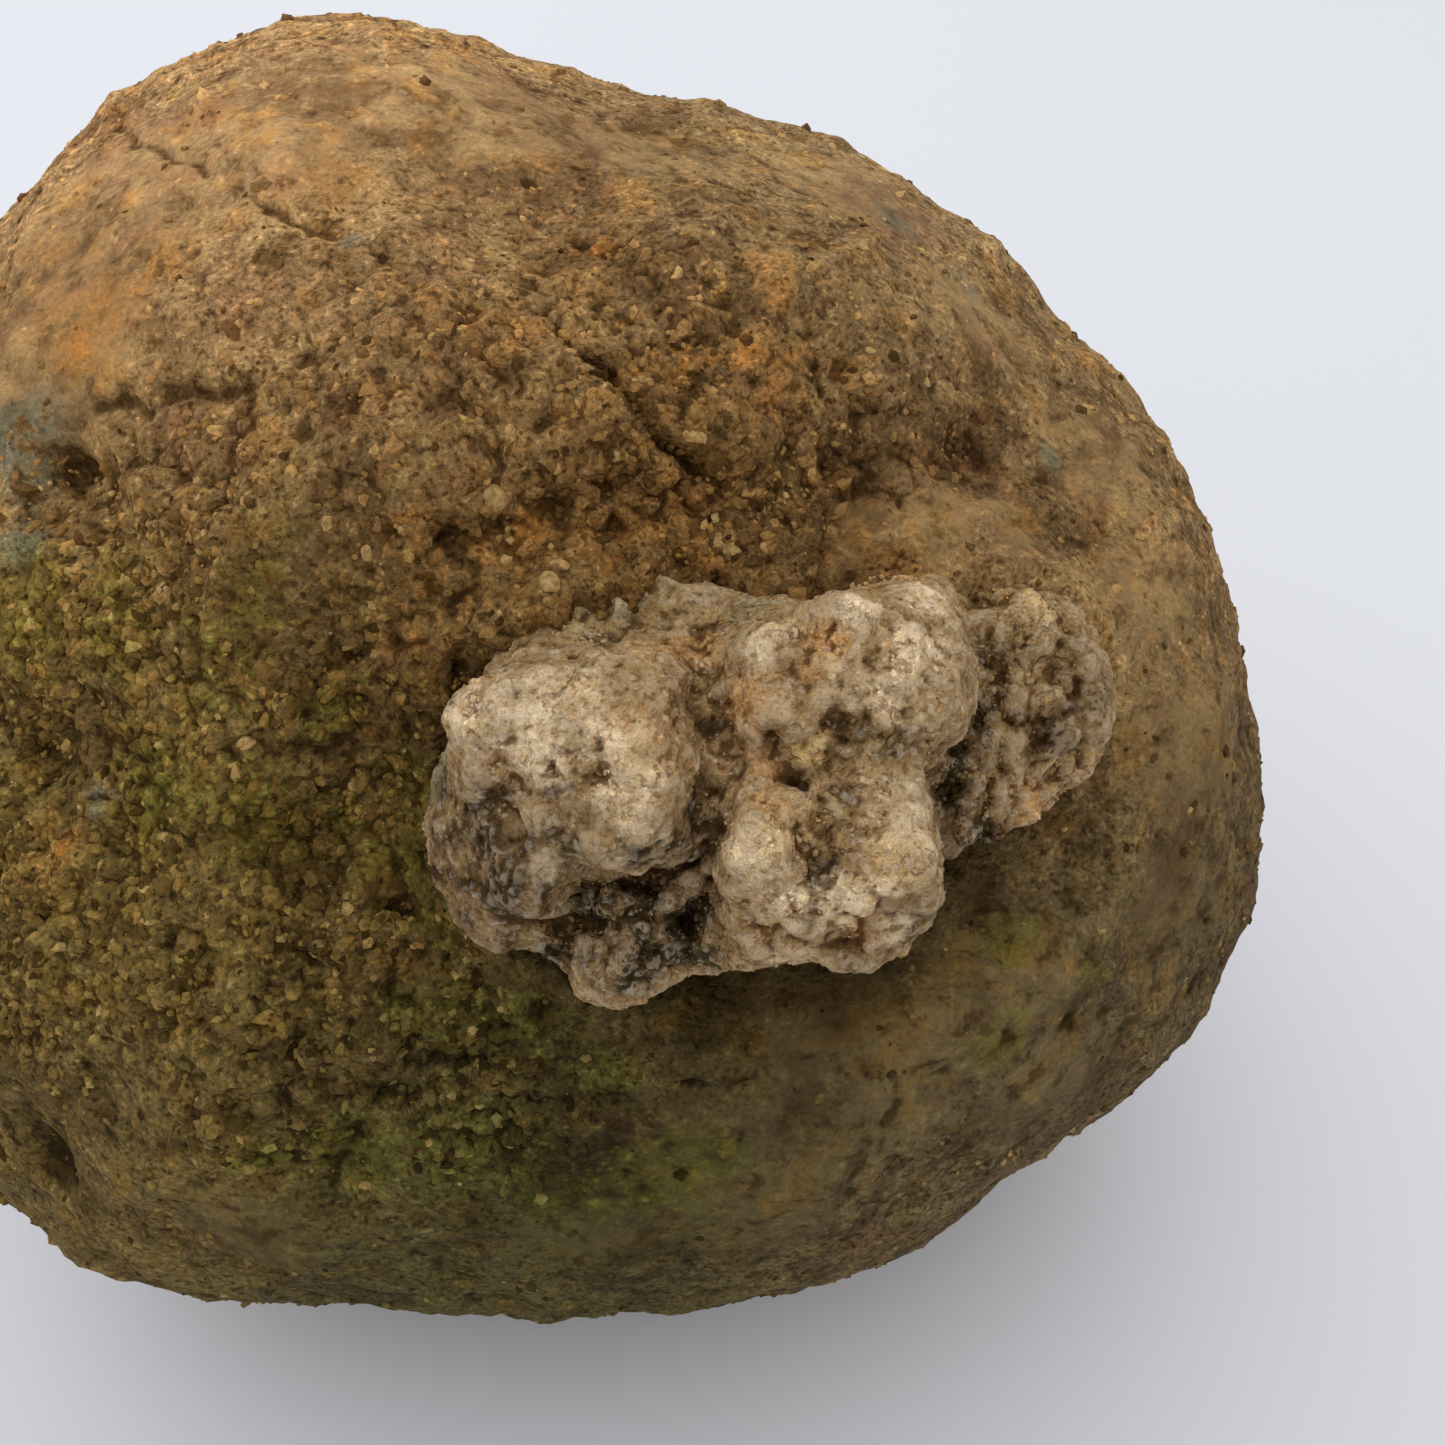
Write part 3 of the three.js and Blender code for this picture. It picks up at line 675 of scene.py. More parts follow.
# Where the quartz is darkened with painted shade: its pits, pocket and gaps.
KNOB_PAINTED_SHADE = [(575, 920, 1.5), (1020, 722, 1.2), (1048, 738, 1.6), (568, 647, 0.9), (775, 742, 0.9),
    (797, 782, 1.0), (592, 778, 0.9), (552, 767, 0.8), (868, 660, 0.6), (848, 661, 0.4), (870, 694, 0.4),
    (1055, 672, 1.0), (1012, 666, 0.7), (823, 800, 0.6), (728, 875, 0.4), (640, 880, 2.2), (690, 912, 1.2),
    (600, 905, 1.6), (955, 745, 1.2), (832, 948, 0.5), (828, 750, 0.9), (1000, 840, 1.3), (472, 803, 0.4)]
# Painted shadow on the foot, the skirt and the bottom lobe under the left lobe, and low on the right lobe.
PAINTED_SHADOW_PATCHES = [(500, 900, 5), (540, 870, 3.5), (560, 925, 4), (640, 940, 5), (480, 840, 4), (930, 920, 2.5)]
# Painted light on the left lobe's lit face.
PAINTED_LIGHT_PATCHES = [(500, 722, 4), (560, 740, 4.5), (620, 765, 4), (600, 705, 3), (560, 700, 3)]
TAN = [(560, 630, 3.5), (610, 622, 4), (660, 616, 4), (720, 618, 4), (770, 612, 3), (540, 650, 2.5),
    (960, 590, 3), (1010, 590, 4), (1060, 640, 3)]
BLUISH = [(430, 785, 2.2), (428, 765, 1.8), (600, 600, 2.2), (620, 606, 2), (760, 606, 1.6),
    (745, 612, 1.6), (440, 700, 2)]
# The stains, and the painted light and shade, in the order they are laid on: where, how strong and what
# colour.
KNOB_STAINS = [
    (TAN, 1.0, (172, 143, 98)), (GREY_AND_SHADE_PATCHES, 0.9, (92, 72, 42)), (GREENISH, 0.95, (60, 51, 25)),
    (BROWN, 0.9, (72, 50, 24)), (PEACH, 0.8, (208, 158, 100)), (YELLOW, 0.8, (230, 192, 124)),
    (PAINTED_SHADOW_PATCHES, 0.5, (62, 51, 30)), (PAINTED_LIGHT_PATCHES, 0.4, (224, 200, 162)), (BLUISH, 0.9, (142, 139, 106)),
    (PALE_AND_HIGHLIGHT_PATCHES, 0.9, (244, 216, 174))]


def knob_base():
    """The CAD quartz above the rock, meshed evenly and with its facets melted away."""
    solid = merged_copy("quartz_knob")
    everything = solid.verts[:] + solid.edges[:] + solid.faces[:]
    floor_place = (HEART + KNOB_FLOOR * OUT) * MM
    cut = bmesh.ops.bisect_plane(solid, geom=everything, dist=1e-7, plane_co=floor_place, plane_no=OUT,
                                 clear_inner=True)
    rim = [item for item in cut["geom_cut"] if isinstance(item, bmesh.types.BMEdge)]
    bmesh.ops.triangle_fill(solid, edges=rim, use_beauty=True, normal=-OUT)
    bmesh.ops.recalc_face_normals(solid, faces=solid.faces)
    mesh = bpy.data.meshes.new("quartz_rough")
    solid.to_mesh(mesh)
    solid.free()
    holder = placed("quartz_rough", mesh)
    even = holder.modifiers.new("even", "REMESH")
    even.mode = "VOXEL"
    even.voxel_size = KNOB_VOXEL * MM
    fine = bpy.data.meshes.new_from_object(holder.evaluated_get(bpy.context.evaluated_depsgraph_get()))
    fine.name = "quartz_surface"
    bpy.data.objects.remove(holder)
    points, edges, _ = mesh_arrays(fine)
    put_points(fine, relax(points, edges, KNOB_ROUNDING))
    return fine


def knob_relief(mesh):
    """Gives the quartz its lobes' lumps, its cracks and its broken surface, and keeps its colours, its
    painted light and its painted shade on it.
    """
    points, edges, outward = mesh_arrays(mesh)
    tree = tree_of(mesh)
    shaken = wandering(points, 2.5, 0.5)
    lift = spots_lift(shaken, tree, KNOB_SPOTS) + runs_lift(shaken, tree, KNOB_RUNS)
    points = points + outward * lift[:, None]
    points = points + OUT * runs_lift(shaken, tree, KNOB_SADDLES)[:, None]
    points = relax(points + UP * runs_lift(shaken, tree, KNOB_SLOPES)[:, None], edges, 6)
    outward = put_points(mesh, points)
    tree = tree_of(mesh)
    shaken = wandering(points, 2.5, 0.7, 60)
    beads = patches(shaken, tree, KNOB_BEADS)
    calm = 1.0 - 0.4 * patches(shaken, tree, KNOB_SMOOTH)
    shaken = wandering(points, 3.0, 0.6, 20)
    crumbly = wandering(points, 1.3, 0.25, 30)
    # Broken faces of three sizes, fine crumbs, beads, packed lumps and pits.
    lift = 0.26 * faceted(crumbly, 1.7, 13) - 0.6 * faceted(shaken, 4.6, 3)
    lift -= 0.3 * faceted(crumbly, 2.1, 23)
    lift *= calm
    lift += 0.16 * cloudy(points, 2.6, 4, 2) + 0.17 * faceted(wandering(points, 0.9, 0.2, 35), 0.95, 53)
    lift += 0.7 * beads * faceted(shaken, 1.9, 2)
    lift += (0.1 + 0.55 * patches(shaken, tree, KNOB_LUMPY)) * (packed(crumbly, 2.6, 9) - 0.6)
    pits = ripple(crumbly / 0.8, 33) + 0.5 * ripple(points / 4.0, 34)
    lift -= 0.45 * calm * soft(pits, 0.8, 1.1)
    points = points + outward * (lift - np.average(lift) + 0.05)[:, None]
    outward = put_points(mesh, points)
    # Thin splinters are worn back, the taller ones wholly.
    rounded = relax(points, edges, SPLINTER_PASSES)
    sharp = soft(np.einsum("ij,ij->i", points - rounded, outward), SPLINTER_LOW, SPLINTER_TALL)
    points = points + sharp[:, None] * (rounded - points)
    outward = put_points(mesh, points)
    keep_hollow(mesh, points, edges, outward, (4, 0.07), (60, 0.35))
    shaken = wandering(points, 3.0, 0.9, 80)
    tone = np.full((len(points), 3), KNOB_BASE)
    torn = 0.3 + 0.7 * soft(cloudy(points, 2.6, 4, 90), -0.3, 0.3)
    for spots, share, colour in KNOB_STAINS:
        cover = (share * torn * patches(shaken, tree, spots))[:, None]
        tone = tone * (1.0 - cover) + np.array(paint(*colour)) * cover
    keep(mesh, "ground", tone * KNOB_TINT)
    # Painted shade in the pits and gaps.
    keep(mesh, "dark", patches(shaken, tree, KNOB_PAINTED_SHADE))
    keep(mesh, "beads", beads)


knob_mesh = knob_base()
knob_relief(knob_mesh)
rock_mesh = rock_base()
rock_relief(rock_mesh, tree_of(knob_mesh))
rock = as_piece(rock_mesh)
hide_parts("host_rock")
knob = as_piece(knob_mesh)
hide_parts("quartz_knob")

# ---------------------------------------------------------------- grains and pebbles set in the rock
GRAIN_SPREAD = 0.35
GRAIN_TILT = 0.25


def grain_points():
    """The points and faces of one plain grain, 1 mm in radius."""
    bm = bmesh.new()
    bmesh.ops.create_icosphere(bm, subdivisions=1, radius=1.0)
    shape = np.array([vert.co for vert in bm.verts])
    faces = np.array([[vert.index for vert in face.verts] for face in bm.faces])
    bm.free()
    return shape, faces


def places_on(mesh, share, count, draw):
    """Random places on a mesh, more where share is high: places, ways out and a point beside each."""
    points, _, _ = mesh_arrays(mesh)
    mesh.calc_loop_triangles()
    corners = np.empty(len(mesh.loop_triangles) * 3, dtype=np.int32)
    mesh.loop_triangles.foreach_get("vertices", corners)
    corners = corners.reshape(-1, 3)
    a, b, c = (points[corners[:, k]] for k in range(3))
    across = np.cross(b - a, c - a)
    area = np.linalg.norm(across, axis=1)
    weight = area * share[corners].mean(axis=1)
    chosen = draw.choice(len(corners), size=count, p=weight / weight.sum())
    u, v = draw.random(count), draw.random(count)
    u, v = np.where(u + v > 1, 1 - u, u), np.where(u + v > 1, 1 - v, v)
    place = a[chosen] + u[:, None] * (b - a)[chosen] + v[:, None] * (c - a)[chosen]
    return place, across[chosen] / area[chosen][:, None], corners[chosen, 0]


def sprinkle(name, mesh, share, seed, count, radius, buried, flat):
    """Grains scattered over a mesh where share is high: one mesh, with each grain's own tint.

    The radius is in mm; buried and flat are shares of it.
    """
    draw = np.random.default_rng(seed)
    shape, faces = grain_points()
    place, normal, under = places_on(mesh, share, count, draw)
    size = np.clip(radius * np.exp(draw.normal(size=count) * GRAIN_SPREAD), radius * 0.45, radius * 1.9)
    up = normal + GRAIN_TILT * draw.normal(size=(count, 3))
    up /= np.linalg.norm(up, axis=1)[:, None]
    side = np.cross(up, draw.normal(size=(count, 3)))
    side /= np.linalg.norm(side, axis=1)[:, None]
    along = np.cross(up, side)
    local = shape[None] * np.clip(1.0 + 0.2 * draw.normal(size=(count, len(shape), 1)), 0.7, 1.3)
    local = local * np.stack([draw.uniform(0.8, 1.4, count), draw.uniform(0.6, 1.0, count),
                              draw.uniform(flat, flat + 0.3, count)], axis=1)[:, None, :]
    turned = local[..., :1] * side[:, None] + local[..., 1:2] * along[:, None]
    turned += local[..., 2:] * up[:, None]
    whole = place[:, None] + (turned - buried * normal[:, None]) * size[:, None, None]
    whole[..., 2] = np.maximum(whole[..., 2], 0.0)
    all_faces = (faces[None] + (np.arange(count) * len(shape))[:, None, None]).reshape(-1, 3)
    grains = bpy.data.meshes.new(name)
    grains.from_pydata((whole.reshape(-1, 3) * MM).tolist(), [], all_faces.tolist())
    keep(grains, "tint", np.repeat(draw.random(count), len(shape)))
    # Each grain takes the moss, the painted shade and the ground colour kept on the point under it.
    for layer in ("moss", "dark", "ground"):
        if layer in mesh.attributes:
            keep(grains, layer, np.repeat(kept(mesh, layer)[under], len(shape), axis=0))
    return as_piece(grains, smooth=False)


PEBBLES = {
    "triangular pebble": (492, 497, 1.3),
    "oval pebble over the collar": (549, 580, 1.0),
    "crumb beside it": (555, 563, 0.5),
    "pebble under the triangle": (505, 560, 0.7),
    "pebble in the dark seam": (716, 517, 0.6),
    "pebble over the top ridge": (734, 550, 0.7),
    "pebble to its right": (768, 549, 0.7),
    "pebble below the seam": (717, 539, 0.5),
    "pebble at the fissure's foot": (594, 403, 0.8),
    "pebble right of the fissure": (641, 379, 0.7),
    "square tan pebble": (614, 456, 0.8),
    "pinkish pebble on the brow": (721, 268, 0.8),
    "pebble left of the middle": (367, 554, 0.6),
    "pebble in the left flank": (165, 590, 0.8),
    "pebble in the moss": (246, 742, 0.7),
    "pebble low on the left": (163, 838, 0.6),
    "long crystal by the fissure": (552, 318, 0.9),
}


def set_pebbles(mesh):
    """The larger cream pebbles, each sunk halfway into the rock."""
    draw = np.random.default_rng(31)
    tree = tree_of(mesh)
    bm = bmesh.new()
    for x, y, radius in PEBBLES.values():
        place = seen(tree, x, y)
        normal = np.array(tree.find_nearest(Vector(place))[1])
        made = bmesh.ops.create_icosphere(bm, subdivisions=3, radius=1.0)["verts"]
        shape = np.array([vert.co for vert in made])
        shape *= (1.0 + 0.4 * faceted(shape + draw.uniform(-50, 50, 3), 1.1, 7))[:, None]
        shape *= 0.8 * radius * np.array([draw.uniform(0.9, 1.4), draw.uniform(0.7, 1.0), 0.7])
        side = np.cross(normal, draw.normal(size=3))
        side /= np.linalg.norm(side)
        shape = shape @ np.stack([side, np.cross(normal, side), normal]) + place - 0.25 * radius * normal
        for vert, point in zip(made, shape):
            vert.co = point * MM
    pebbles = bpy.data.meshes.new("cream_pebbles")
    bm.to_mesh(pebbles)
    bm.free()
    return as_piece(pebbles)


rock_points = mesh_arrays(rock_mesh)[0]
coarse, rugged, calm = (kept(rock_mesh, layer) for layer in ("coarse", "rugged", "calm"))
facing = soft(on_face(rock_points)[:, 2], -25.0, 25.0)
clumps = soft(cloudy(rock_points, 6.0, 2, 21), -0.25, 0.35)
fine_share = (1.0 - 0.75 * calm) * (0.35 + 0.65 * clumps) * (0.3 + 0.7 * coarse + 0.6 * rugged)
fine_share = fine_share * (0.35 + 0.65 * facing)
big_share = (1.0 - 0.6 * calm) * (0.15 + 0.85 * clumps) * (0.06 + 1.0 * coarse + 0.3 * rugged)
big_share = big_share * (0.3 + 0.7 * facing)
knob_clumps = soft(cloudy(mesh_arrays(knob_mesh)[0], 4.0, 2, 61), -0.2, 0.4)
crumb_share = 0.15 + 1.4 * kept(knob_mesh, "beads") + 0.5 * knob_clumps
fine_grains = sprinkle("fine_grains", rock_mesh, fine_share, seed=11, count=9800,
                       radius=0.26, buried=0.2, flat=0.5)
coarse_grains = sprinkle("coarse_grains", rock_mesh, big_share, seed=12, count=8800,
                         radius=0.44, buried=0.2, flat=0.5)
pebbles = set_pebbles(rock_mesh)
crumbs = sprinkle("quartz_crumbs", knob_mesh, crumb_share, seed=13, count=8800,
                  radius=0.19, buried=0.25, flat=0.6)

# ---------------------------------------------------------------- finishes
HALF = (0.5, 0.5, 0.5)


class Value:
    """A number or colour that changes over a surface. Sums on it add the nodes that work them out."""

    def __init__(self, finish, socket):
        self.finish = finish
        self.socket = socket

    def __add__(self, other):
        return self.finish.sum("ADD", self, other)

    __radd__ = __add__

    def __sub__(self, other):
        return self.finish.sum("SUBTRACT", self, other)

    def __rsub__(self, other):
        return self.finish.sum("SUBTRACT", other, self)

    def __mul__(self, other):
        return self.finish.sum("MULTIPLY", self, other)

    __rmul__ = __mul__


class Finish:
    """A material, and the few ways in which its nodes are made."""

    def __init__(self, name):
        self.material = bpy.data.materials.new(name)
        self.material.use_nodes = True
        self.tree = self.material.node_tree
        self.shader = self.tree.nodes["Principled BSDF"]
        self.place = self.node("ShaderNodeTexCoord", output="Object")

    def feed(self, socket, value):
        """Sets a socket, or links what varies to it."""
        if isinstance(value, Value):
            self.tree.links.new(value.socket, socket)
        else:
            socket.default_value = value

    def node(self, kind, settings=None, inputs=None, output=0):
        """Any node, from its type, its settings, and its sockets' values or links."""
        node = self.tree.nodes.new(kind)
        for name, value in (settings or {}).items():
            if name == "stops":
                stops = node.color_ramp.elements
                for at, (place, colour) in enumerate(value):
                    stop = stops[at] if at < 2 else stops.new(place)
                    stop.position, stop.color = place, (*colour, 1.0)
            else:
                setattr(node, name, value)
        for name, value in (inputs or {}).items():
            self.feed(node.inputs[name], value)
        return Value(self, node.outputs[output])

    def sum(self, operation, first, second):
        """A sum of two numbers."""
        return self.node("ShaderNodeMath", {"operation": operation}, {0: first, 1: second})

    def vector(self, operation, inputs, output=0):
        """A sum of places or directions."""
        return self.node("ShaderNodeVectorMath", {"operation": operation}, inputs, output)

    def kept(self, name, output="Fac"):
        """What was kept on the mesh, point by point."""
        return self.node("ShaderNodeAttribute", {"attribute_name": name}, output=output)

    def clouds(self, size, detail, roughness=0.55, place=None, output=0):
        """Clouds whose widest ones measure size mm."""
        return self.node("ShaderNodeTexNoise", None, {
            "Vector": place or self.place, "Scale": 1.0 / (size * MM), "Detail": detail,
            "Roughness": roughness}, output)

    def between(self, value, start, end):
        """0 at start, 1 at end."""
        return self.node("ShaderNodeMapRange", {"interpolation_type": "SMOOTHSTEP"},
                         {"Value": value, "From Min": start, "From Max": end})

    def mixed(self, share, first, second, blend="MIX"):
        """The first colour where share is 0, the second where it is 1."""
        first, second = (c if isinstance(c, Value) else (*c, 1.0) for c in (first, second))
        return self.node("ShaderNodeMix", {"data_type": "RGBA", "blend_type": blend},
                         {0: share, 6: first, 7: second}, output=2)

    def tinted(self, colour, tint):
        """A colour multiplied by a tint."""
        return self.mixed(1.0, colour, tint, "MULTIPLY")

    def mottled(self, colour, *layers):
        """The colour under layers of tint, each laid on as its value goes from start to end."""
        for value, start, end, share, tint in layers:
            colour = self.mixed(self.between(value, start, end) * share, colour, self.tinted(colour, tint))
        return colour

    def shaken(self, size, reach):
        """The place on the piece, shaken by up to reach mm."""
        cloud = self.clouds(size, 2.0, output=1)
        shift = self.vector("SCALE", {0: self.vector("SUBTRACT", {0: cloud, 1: HALF}), "Scale": reach * MM})
        return self.vector("ADD", {0: self.place, 1: shift})

    def facets(self, size, place):
        """Crystal faces, each tilted its own way: the height in metres, and a number for each crystal."""
        crystal = self.node("ShaderNodeTexVoronoi", None, {"Vector": place, "Scale": 1.0 / (size * MM)}, 1)
        middle = Value(self, crystal.socket.node.outputs["Position"])
        away = self.vector("SUBTRACT", {0: place, 1: middle})
        tilt = self.vector("SUBTRACT", {0: crystal, 1: HALF})
        height = self.vector("DOT_PRODUCT", {0: away, 1: tilt}, "Value")
        return height, self.node("ShaderNodeSeparateColor", None, {"Color": crystal})

    def bumped(self, height, depth):
        """The surface's direction over small relief, depth mm deep."""
        return self.node("ShaderNodeBump", None, {"Height": height, "Distance": depth * MM})

    def finished(self, colour, roughness, normal, gloss):
        """The material, with its surface set."""
        self.feed(self.shader.inputs["Base Color"], colour)
        self.feed(self.shader.inputs["Roughness"], roughness)
        self.feed(self.shader.inputs["Normal"], normal)
        self.shader.inputs["Specular IOR Level"].default_value = gloss
        return self.material


def rock_finish():
    """Brown granular rock: mauve and ochre clouds, rust, grey and moss where kept, painted shade in its
    crevices, cracks and hollows, and a painted highlight on its raised points.
    """
    f = Finish("weathered_rock")
    ground = f.kept("ground", "Color")
    hollow, moss, rust = f.kept("hollow"), f.kept("moss"), f.kept("rust")
    grey, dark, crisp = f.kept("grey"), f.kept("dark"), 1.0 - f.kept("calm") * 0.65
    wavy = f.shaken(2.5, 1.8)
    broad = f.clouds(9.0, 6.0, 0.66)
    mid = f.clouds(2.6, 6.0, 0.68, wavy)
    fine = f.clouds(0.8, 4.0, 0.66, wavy)
    speck = f.clouds(0.4, 2.0, 0.6)
    hue = f.clouds(5.0, 4.0, 0.66, wavy)
    mauve = f.clouds(13.0, 5.0, 0.6, wavy)
    colour = f.mottled(
        ground,
        (broad, 0.52, 0.38, 0.8, (0.56, 0.5, 0.47)),
        (broad, 0.5, 0.64, 0.6, (1.4, 1.38, 1.25)))
    colour = f.mixed(f.between(mid, 0.51, 0.66) * 0.75, colour, f.tinted(ground, (1.5, 1.47, 1.4)))
    colour = f.mixed(f.between(mid, 0.49, 0.35) * 0.85, colour, f.tinted(ground, (0.42, 0.36, 0.28)))
    colour = f.mottled(colour, (hue, 0.47, 0.36, 0.7, (1.04, 0.88, 0.84)))
    colour = f.mixed(f.between(mauve, 0.53, 0.66) * 0.5, colour, f.tinted(ground, (0.86, 0.76, 0.86)))
    colour = f.mixed(rust * f.between(mid + broad, 0.9, 1.15) * 0.6, colour, paint(172, 116, 56))
    stone = f.mixed(f.between(broad, 0.4, 0.6), paint(112, 108, 86), paint(146, 138, 112))
    colour = f.mixed(grey * f.between(mid, 0.36, 0.5) * 0.85, colour, stone)
    growth = mid * 0.6 + broad * 0.4 + 0.12 * moss
    colour = f.mottled(colour, (growth, 0.49, 0.61, moss * 0.75, (0.85, 1.02, 0.57)))
    leafy = f.between(fine * 0.5 + mid * 0.5, 0.52, 0.64)
    colour = f.mixed(moss * leafy * 0.4, colour, paint(110, 112, 52))
    colour = f.mottled(
        colour,
        (hue, 0.52, 0.62, 0.7, (1.18, 0.98, 0.7)),
        (fine, 0.53, 0.66, crisp * 0.65, (1.8, 1.8, 1.8)),
        (fine, 0.47, 0.34, crisp * 0.85, (0.34, 0.28, 0.2)),
        (speck, 0.55, 0.68, crisp * 0.6, (1.8, 1.8, 1.8)),
        (speck, 0.45, 0.33, crisp * 0.7, (0.38, 0.32, 0.24)))
    # Painted shade in the crevices, the cracks and under the quartz.
    colour = f.mixed(dark * 0.6, colour, f.tinted(colour, (0.4, 0.34, 0.26)))
    # Painted shade in the hollows, and a painted highlight on the raised points.
    colour = f.mottled(
        colour,
        (hollow, 0.1, 0.8, 0.8, (0.25, 0.2, 0.12)),
        (hollow, -0.15, -0.8, 0.4, (1.4, 1.35, 1.25)))
    height = crisp * (speck * 0.25 + fine * 0.8) + mid
    return f.finished(colour, f.between(fine, 0.2, 0.8) * 0.2 + 0.72, f.bumped(height, 0.75), 0.06)


# The grains' tints, from the dark ones to the pale ones.
GRAIN_TINTS = [(0.0, (0.32, 0.26, 0.18)), (0.3, (0.78, 0.71, 0.6)), (0.6, (1.2, 1.08, 0.9)),
               (0.85, (1.65, 1.54, 1.3)), (1.0, (2.1, 2.05, 1.8))]


def grain_finish():
    """The rock's own colour, lighter or darker from grain to grain."""
    f = Finish("mineral_grains")
    tint, ground, moss, dark = f.kept("tint"), f.kept("ground", "Color"), f.kept("moss"), f.kept("dark")
    fine = f.clouds(0.4, 3.0, 0.65)
    mid = f.clouds(2.6, 3.0, 0.65)
    colour = f.tinted(ground, f.node("ShaderNodeValToRGB", {"stops": GRAIN_TINTS}, {"Fac": tint}))
    colour = f.mixed(f.between(tint, 0.95, 0.97) * 0.4, colour, paint(196, 166, 112))
    colour = f.mottled(
        colour,
        (mid, 0.5, 0.38, 0.6, (0.55, 0.5, 0.46)),
        (fine, 0.5, 0.35, 0.6, (0.4, 0.36, 0.32)),
        (fine, 0.52, 0.66, 0.4, (1.5, 1.45, 1.3)),
        (mid, 0.51, 0.62, 0.5, (1.14, 0.97, 0.74)),
        (mid, 0.56, 0.44, moss * 0.8, (0.86, 1.03, 0.58)))
    # Painted shade, where the rock under the grain has it.
    colour = f.mixed(dark * 0.7, colour, f.tinted(colour, (0.4, 0.36, 0.32)))
    return f.finished(colour, 0.75, f.bumped(fine, 0.25), 0.06)


def pebble_finish():
    """Dull cream."""
    f = Finish("cream_pebble")
    fine = f.clouds(0.5, 4.0, 0.62)
    colour = f.mixed(f.between(fine, 0.35, 0.65), paint(142, 110, 64), paint(188, 154, 98))
    return f.finished(colour, 0.6, f.bumped(fine, 0.2), 0.2)


# How dark the painted shade in the quartz's pits and gaps makes them.
PAINTED_PIT_SHADE_TINT = (0.32, 0.24, 0.19)
QUARTZ_GLOSS = 0.07
CRYSTAL_RISE = 2000.0


def quartz_colour(f):
    """The mottling that the quartz and its crumbs share, over the colours kept on them."""
    wavy = f.shaken(1.6, 1.1)
    broad = f.clouds(6.0, 6.0, 0.66)
    mid = f.clouds(1.7, 6.0, 0.66, wavy)
    fine = f.clouds(0.42, 3.0, 0.66)
    veins = f.clouds(3.2, 4.0, 0.6, wavy)
    colour = f.mottled(
        f.kept("ground", "Color"),
        (broad, 0.5, 0.38, 0.5, (0.66, 0.58, 0.48)),
        (broad, 0.5, 0.64, 0.4, (1.3, 1.28, 1.2)),
        (mid, 0.52, 0.66, 0.5, (1.5, 1.47, 1.38)),
        (mid, 0.48, 0.36, 0.65, (0.6, 0.46, 0.29)))
    vein = f.between(f.sum("ABSOLUTE", veins - 0.5, 0.0), 0.04, 0.0)
    vein = vein * f.between(broad * 0.5 + mid * 0.5, 0.5, 0.58)
    colour = f.mixed(vein * 0.75, colour, f.tinted(colour, (0.46, 0.3, 0.17)))
    colour = f.mottled(
        colour,
        (fine, 0.54, 0.68, 0.65, (1.6, 1.57, 1.5)),
        (fine, 0.46, 0.33, 0.7, (0.44, 0.325, 0.2)))
    return colour, fine, mid, vein


def quartz_finish():
    """Cream quartz with brown veins and small tilted crystal faces, some painted paler as glints, with
    painted shade in its pits and hollows and a painted highlight on its raised points.
    """
    f = Finish("granular_quartz")
    hollow = f.kept("hollow")
    colour, fine, mid, vein = quartz_colour(f)
    # Some crystals are painted paler, as glints.
    facet, sparkle = f.facets(0.55, f.shaken(0.9, 0.5))
    painted_glint = f.mixed(0.5, colour, paint(250, 240, 220))
    colour = f.mixed(f.between(sparkle, 0.78, 0.95) * 0.35, colour, painted_glint)
    # Painted shade in the pits and gaps.
    colour = f.mixed(f.kept("dark") * 0.7, colour, f.tinted(colour, PAINTED_PIT_SHADE_TINT))
    # Painted shade in the hollows, and a painted highlight on the raised points.
    colour = f.mottled(colour, (hollow, 0.08, 0.85, 0.85, (0.22, 0.15, 0.08)))
    worn = f.mixed(0.6, colour, paint(248, 224, 188))
    colour = f.mixed(f.between(hollow, -0.12, -0.8) * 0.4, colour, worn)
    height = fine * 0.6 + mid * 0.8 - vein * 0.4 + facet * CRYSTAL_RISE
    roughness = f.between(sparkle, 0.0, 1.0) * -0.35 + 0.65
    return f.finished(colour, roughness, f.bumped(height, 0.7), QUARTZ_GLOSS)


def crumb_finish():
    """The quartz's own colour, lighter or darker from crumb to crumb."""
    f = Finish("quartz_crumbs")
    tint = f.kept("tint")
    colour, fine, _, _ = quartz_colour(f)
    colour = f.mottled(colour, (tint, 0.4, 0.0, 0.4, (0.6, 0.5, 0.4)))
    colour = f.mixed(f.between(tint, 0.7, 1.0) * 0.3, colour, f.mixed(0.6, colour, paint(250, 240, 218)))
    # Painted shade in the pits and gaps of the quartz under each crumb.
    colour = f.mixed(f.kept("dark") * 0.7, colour, f.tinted(colour, PAINTED_PIT_SHADE_TINT))
    return f.finished(colour, f.between(tint, 0.0, 1.0) * -0.3 + 0.6, f.bumped(fine, 0.1), QUARTZ_GLOSS)


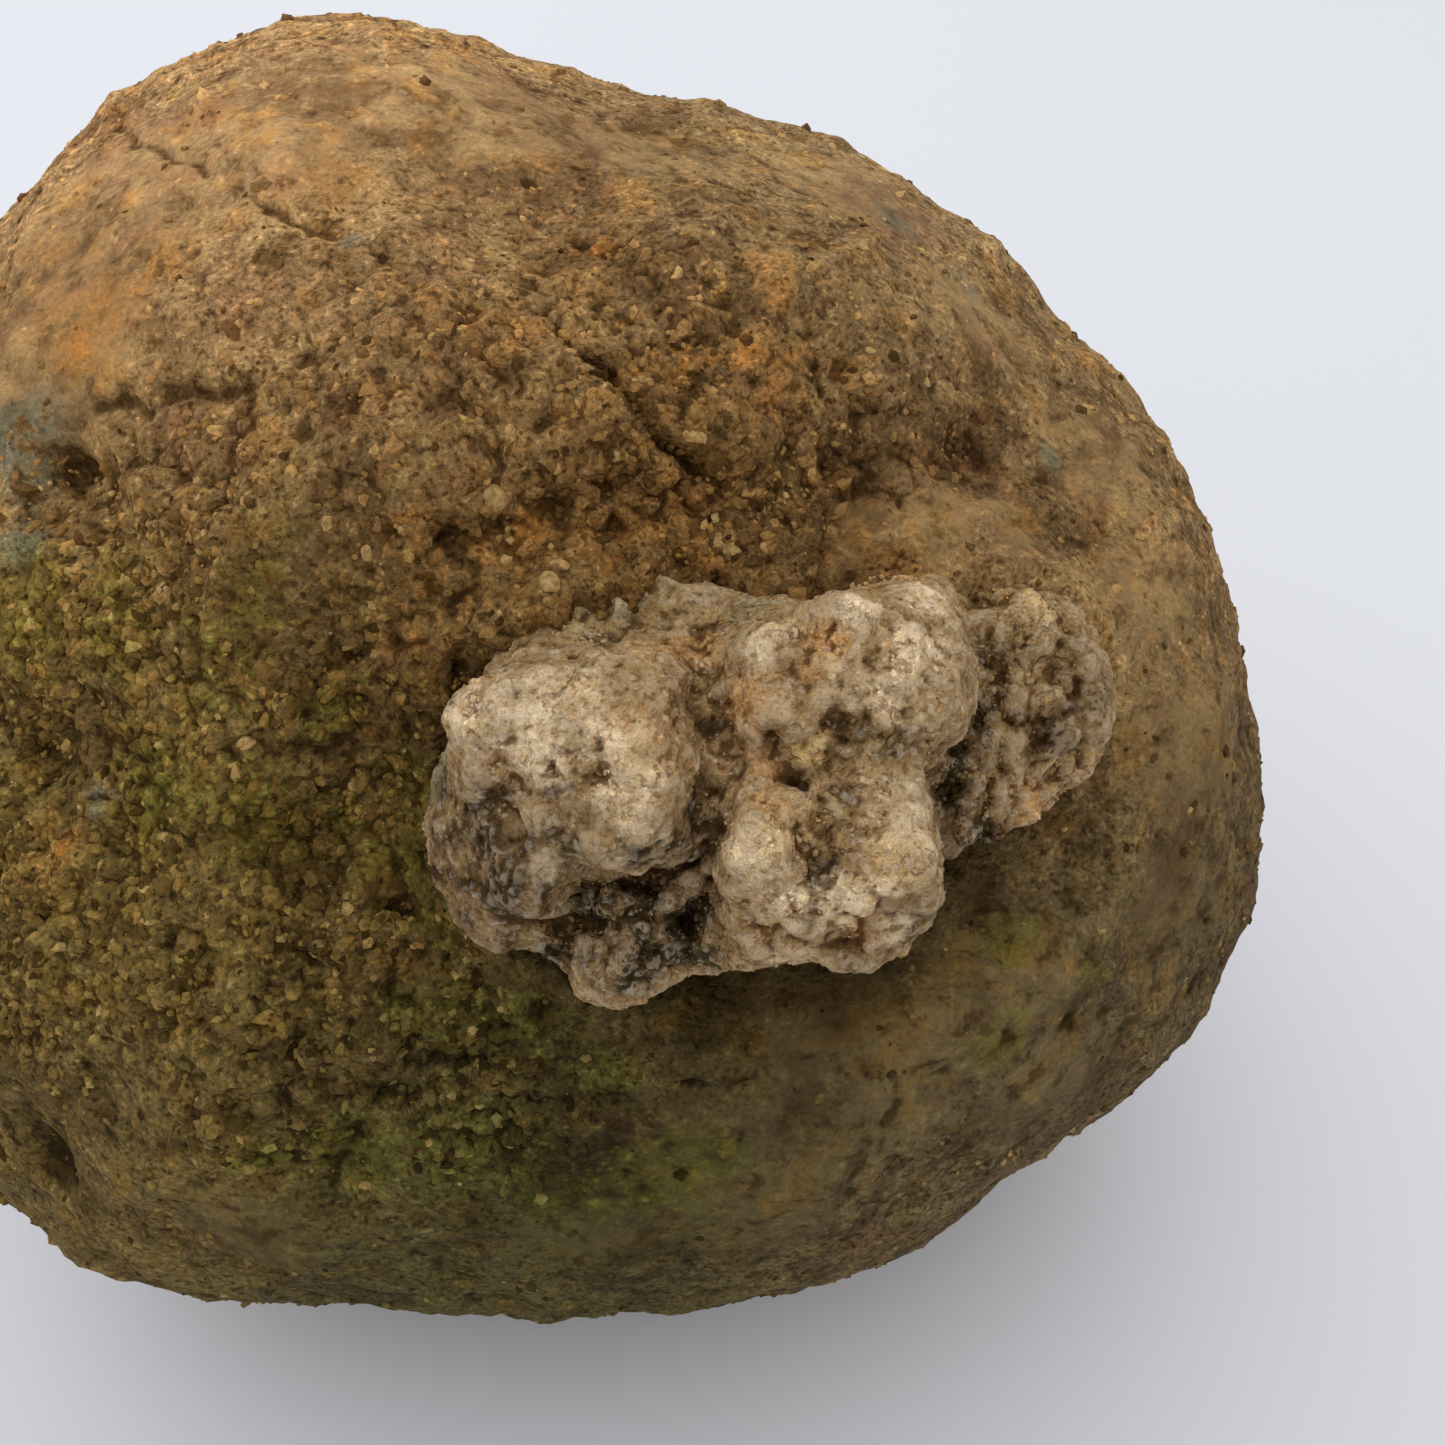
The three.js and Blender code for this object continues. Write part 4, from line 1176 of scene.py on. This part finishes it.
def floor_finish():
    """A plain pale surface."""
    f = Finish("pale_floor")
    return f.finished((*paint(225, 227, 234), 1.0), 0.55, f.bumped(f.clouds(400.0, 1.0), 0.01), 0.3)


rock_mesh.materials.append(rock_finish())
knob_mesh.materials.append(quartz_finish())
grain_material = grain_finish()
for piece in (fine_grains, coarse_grains):
    piece.data.materials.append(grain_material)
pebbles.data.materials.append(pebble_finish())
crumbs.data.materials.append(crumb_finish())

# ---------------------------------------------------------------- floor, camera and light
FLOOR_SIDE = 4.0
SENSOR = 36.0
LENS = 36.0
NEAREST_SEEN = 0.01
SKY_COLOUR = (1.0, 0.99, 0.97, 1.0)
SKY_STRENGTH = 0.73
WINDOW_PLACE = Vector((-0.35, 0.3, 1.1))
WINDOW_SIDE = 2.2
WINDOW_POWER = 10.5
WINDOW_COLOUR = (0.92, 0.96, 1.0)
LIT_PLACE = Vector((0.0, 0.0, 0.05))

floor_bm = bmesh.new()
bmesh.ops.create_grid(floor_bm, x_segments=1, y_segments=1, size=FLOOR_SIDE / 2)
floor_mesh = bpy.data.meshes.new("floor")
floor_bm.to_mesh(floor_mesh)
floor_bm.free()
floor_mesh.materials.append(floor_finish())
floor = placed("floor", floor_mesh)

camera_data = bpy.data.cameras.new("camera")
camera_data.sensor_width = SENSOR
camera_data.lens = LENS
camera_data.clip_start = NEAREST_SEEN
camera = placed("camera", camera_data)
camera.location = EYE * MM
camera.rotation_euler = Vector(-OUT).to_track_quat("-Z", "Y").to_euler()
bpy.context.scene.camera = camera

world = bpy.data.worlds.new("studio")
world.use_nodes = True
sky = world.node_tree.nodes["Background"]
sky.inputs["Color"].default_value = SKY_COLOUR
sky.inputs["Strength"].default_value = SKY_STRENGTH
bpy.context.scene.world = world

window_data = bpy.data.lights.new("window", "AREA")
window_data.size = WINDOW_SIDE
window_data.energy = WINDOW_POWER
window_data.color = WINDOW_COLOUR
window = placed("window", window_data)
window.location = WINDOW_PLACE
window.rotation_euler = (LIT_PLACE - WINDOW_PLACE).to_track_quat("-Z", "Y").to_euler()

bpy.context.scene.view_settings.view_transform = "Standard"
bpy.context.scene.view_settings.look = "None"
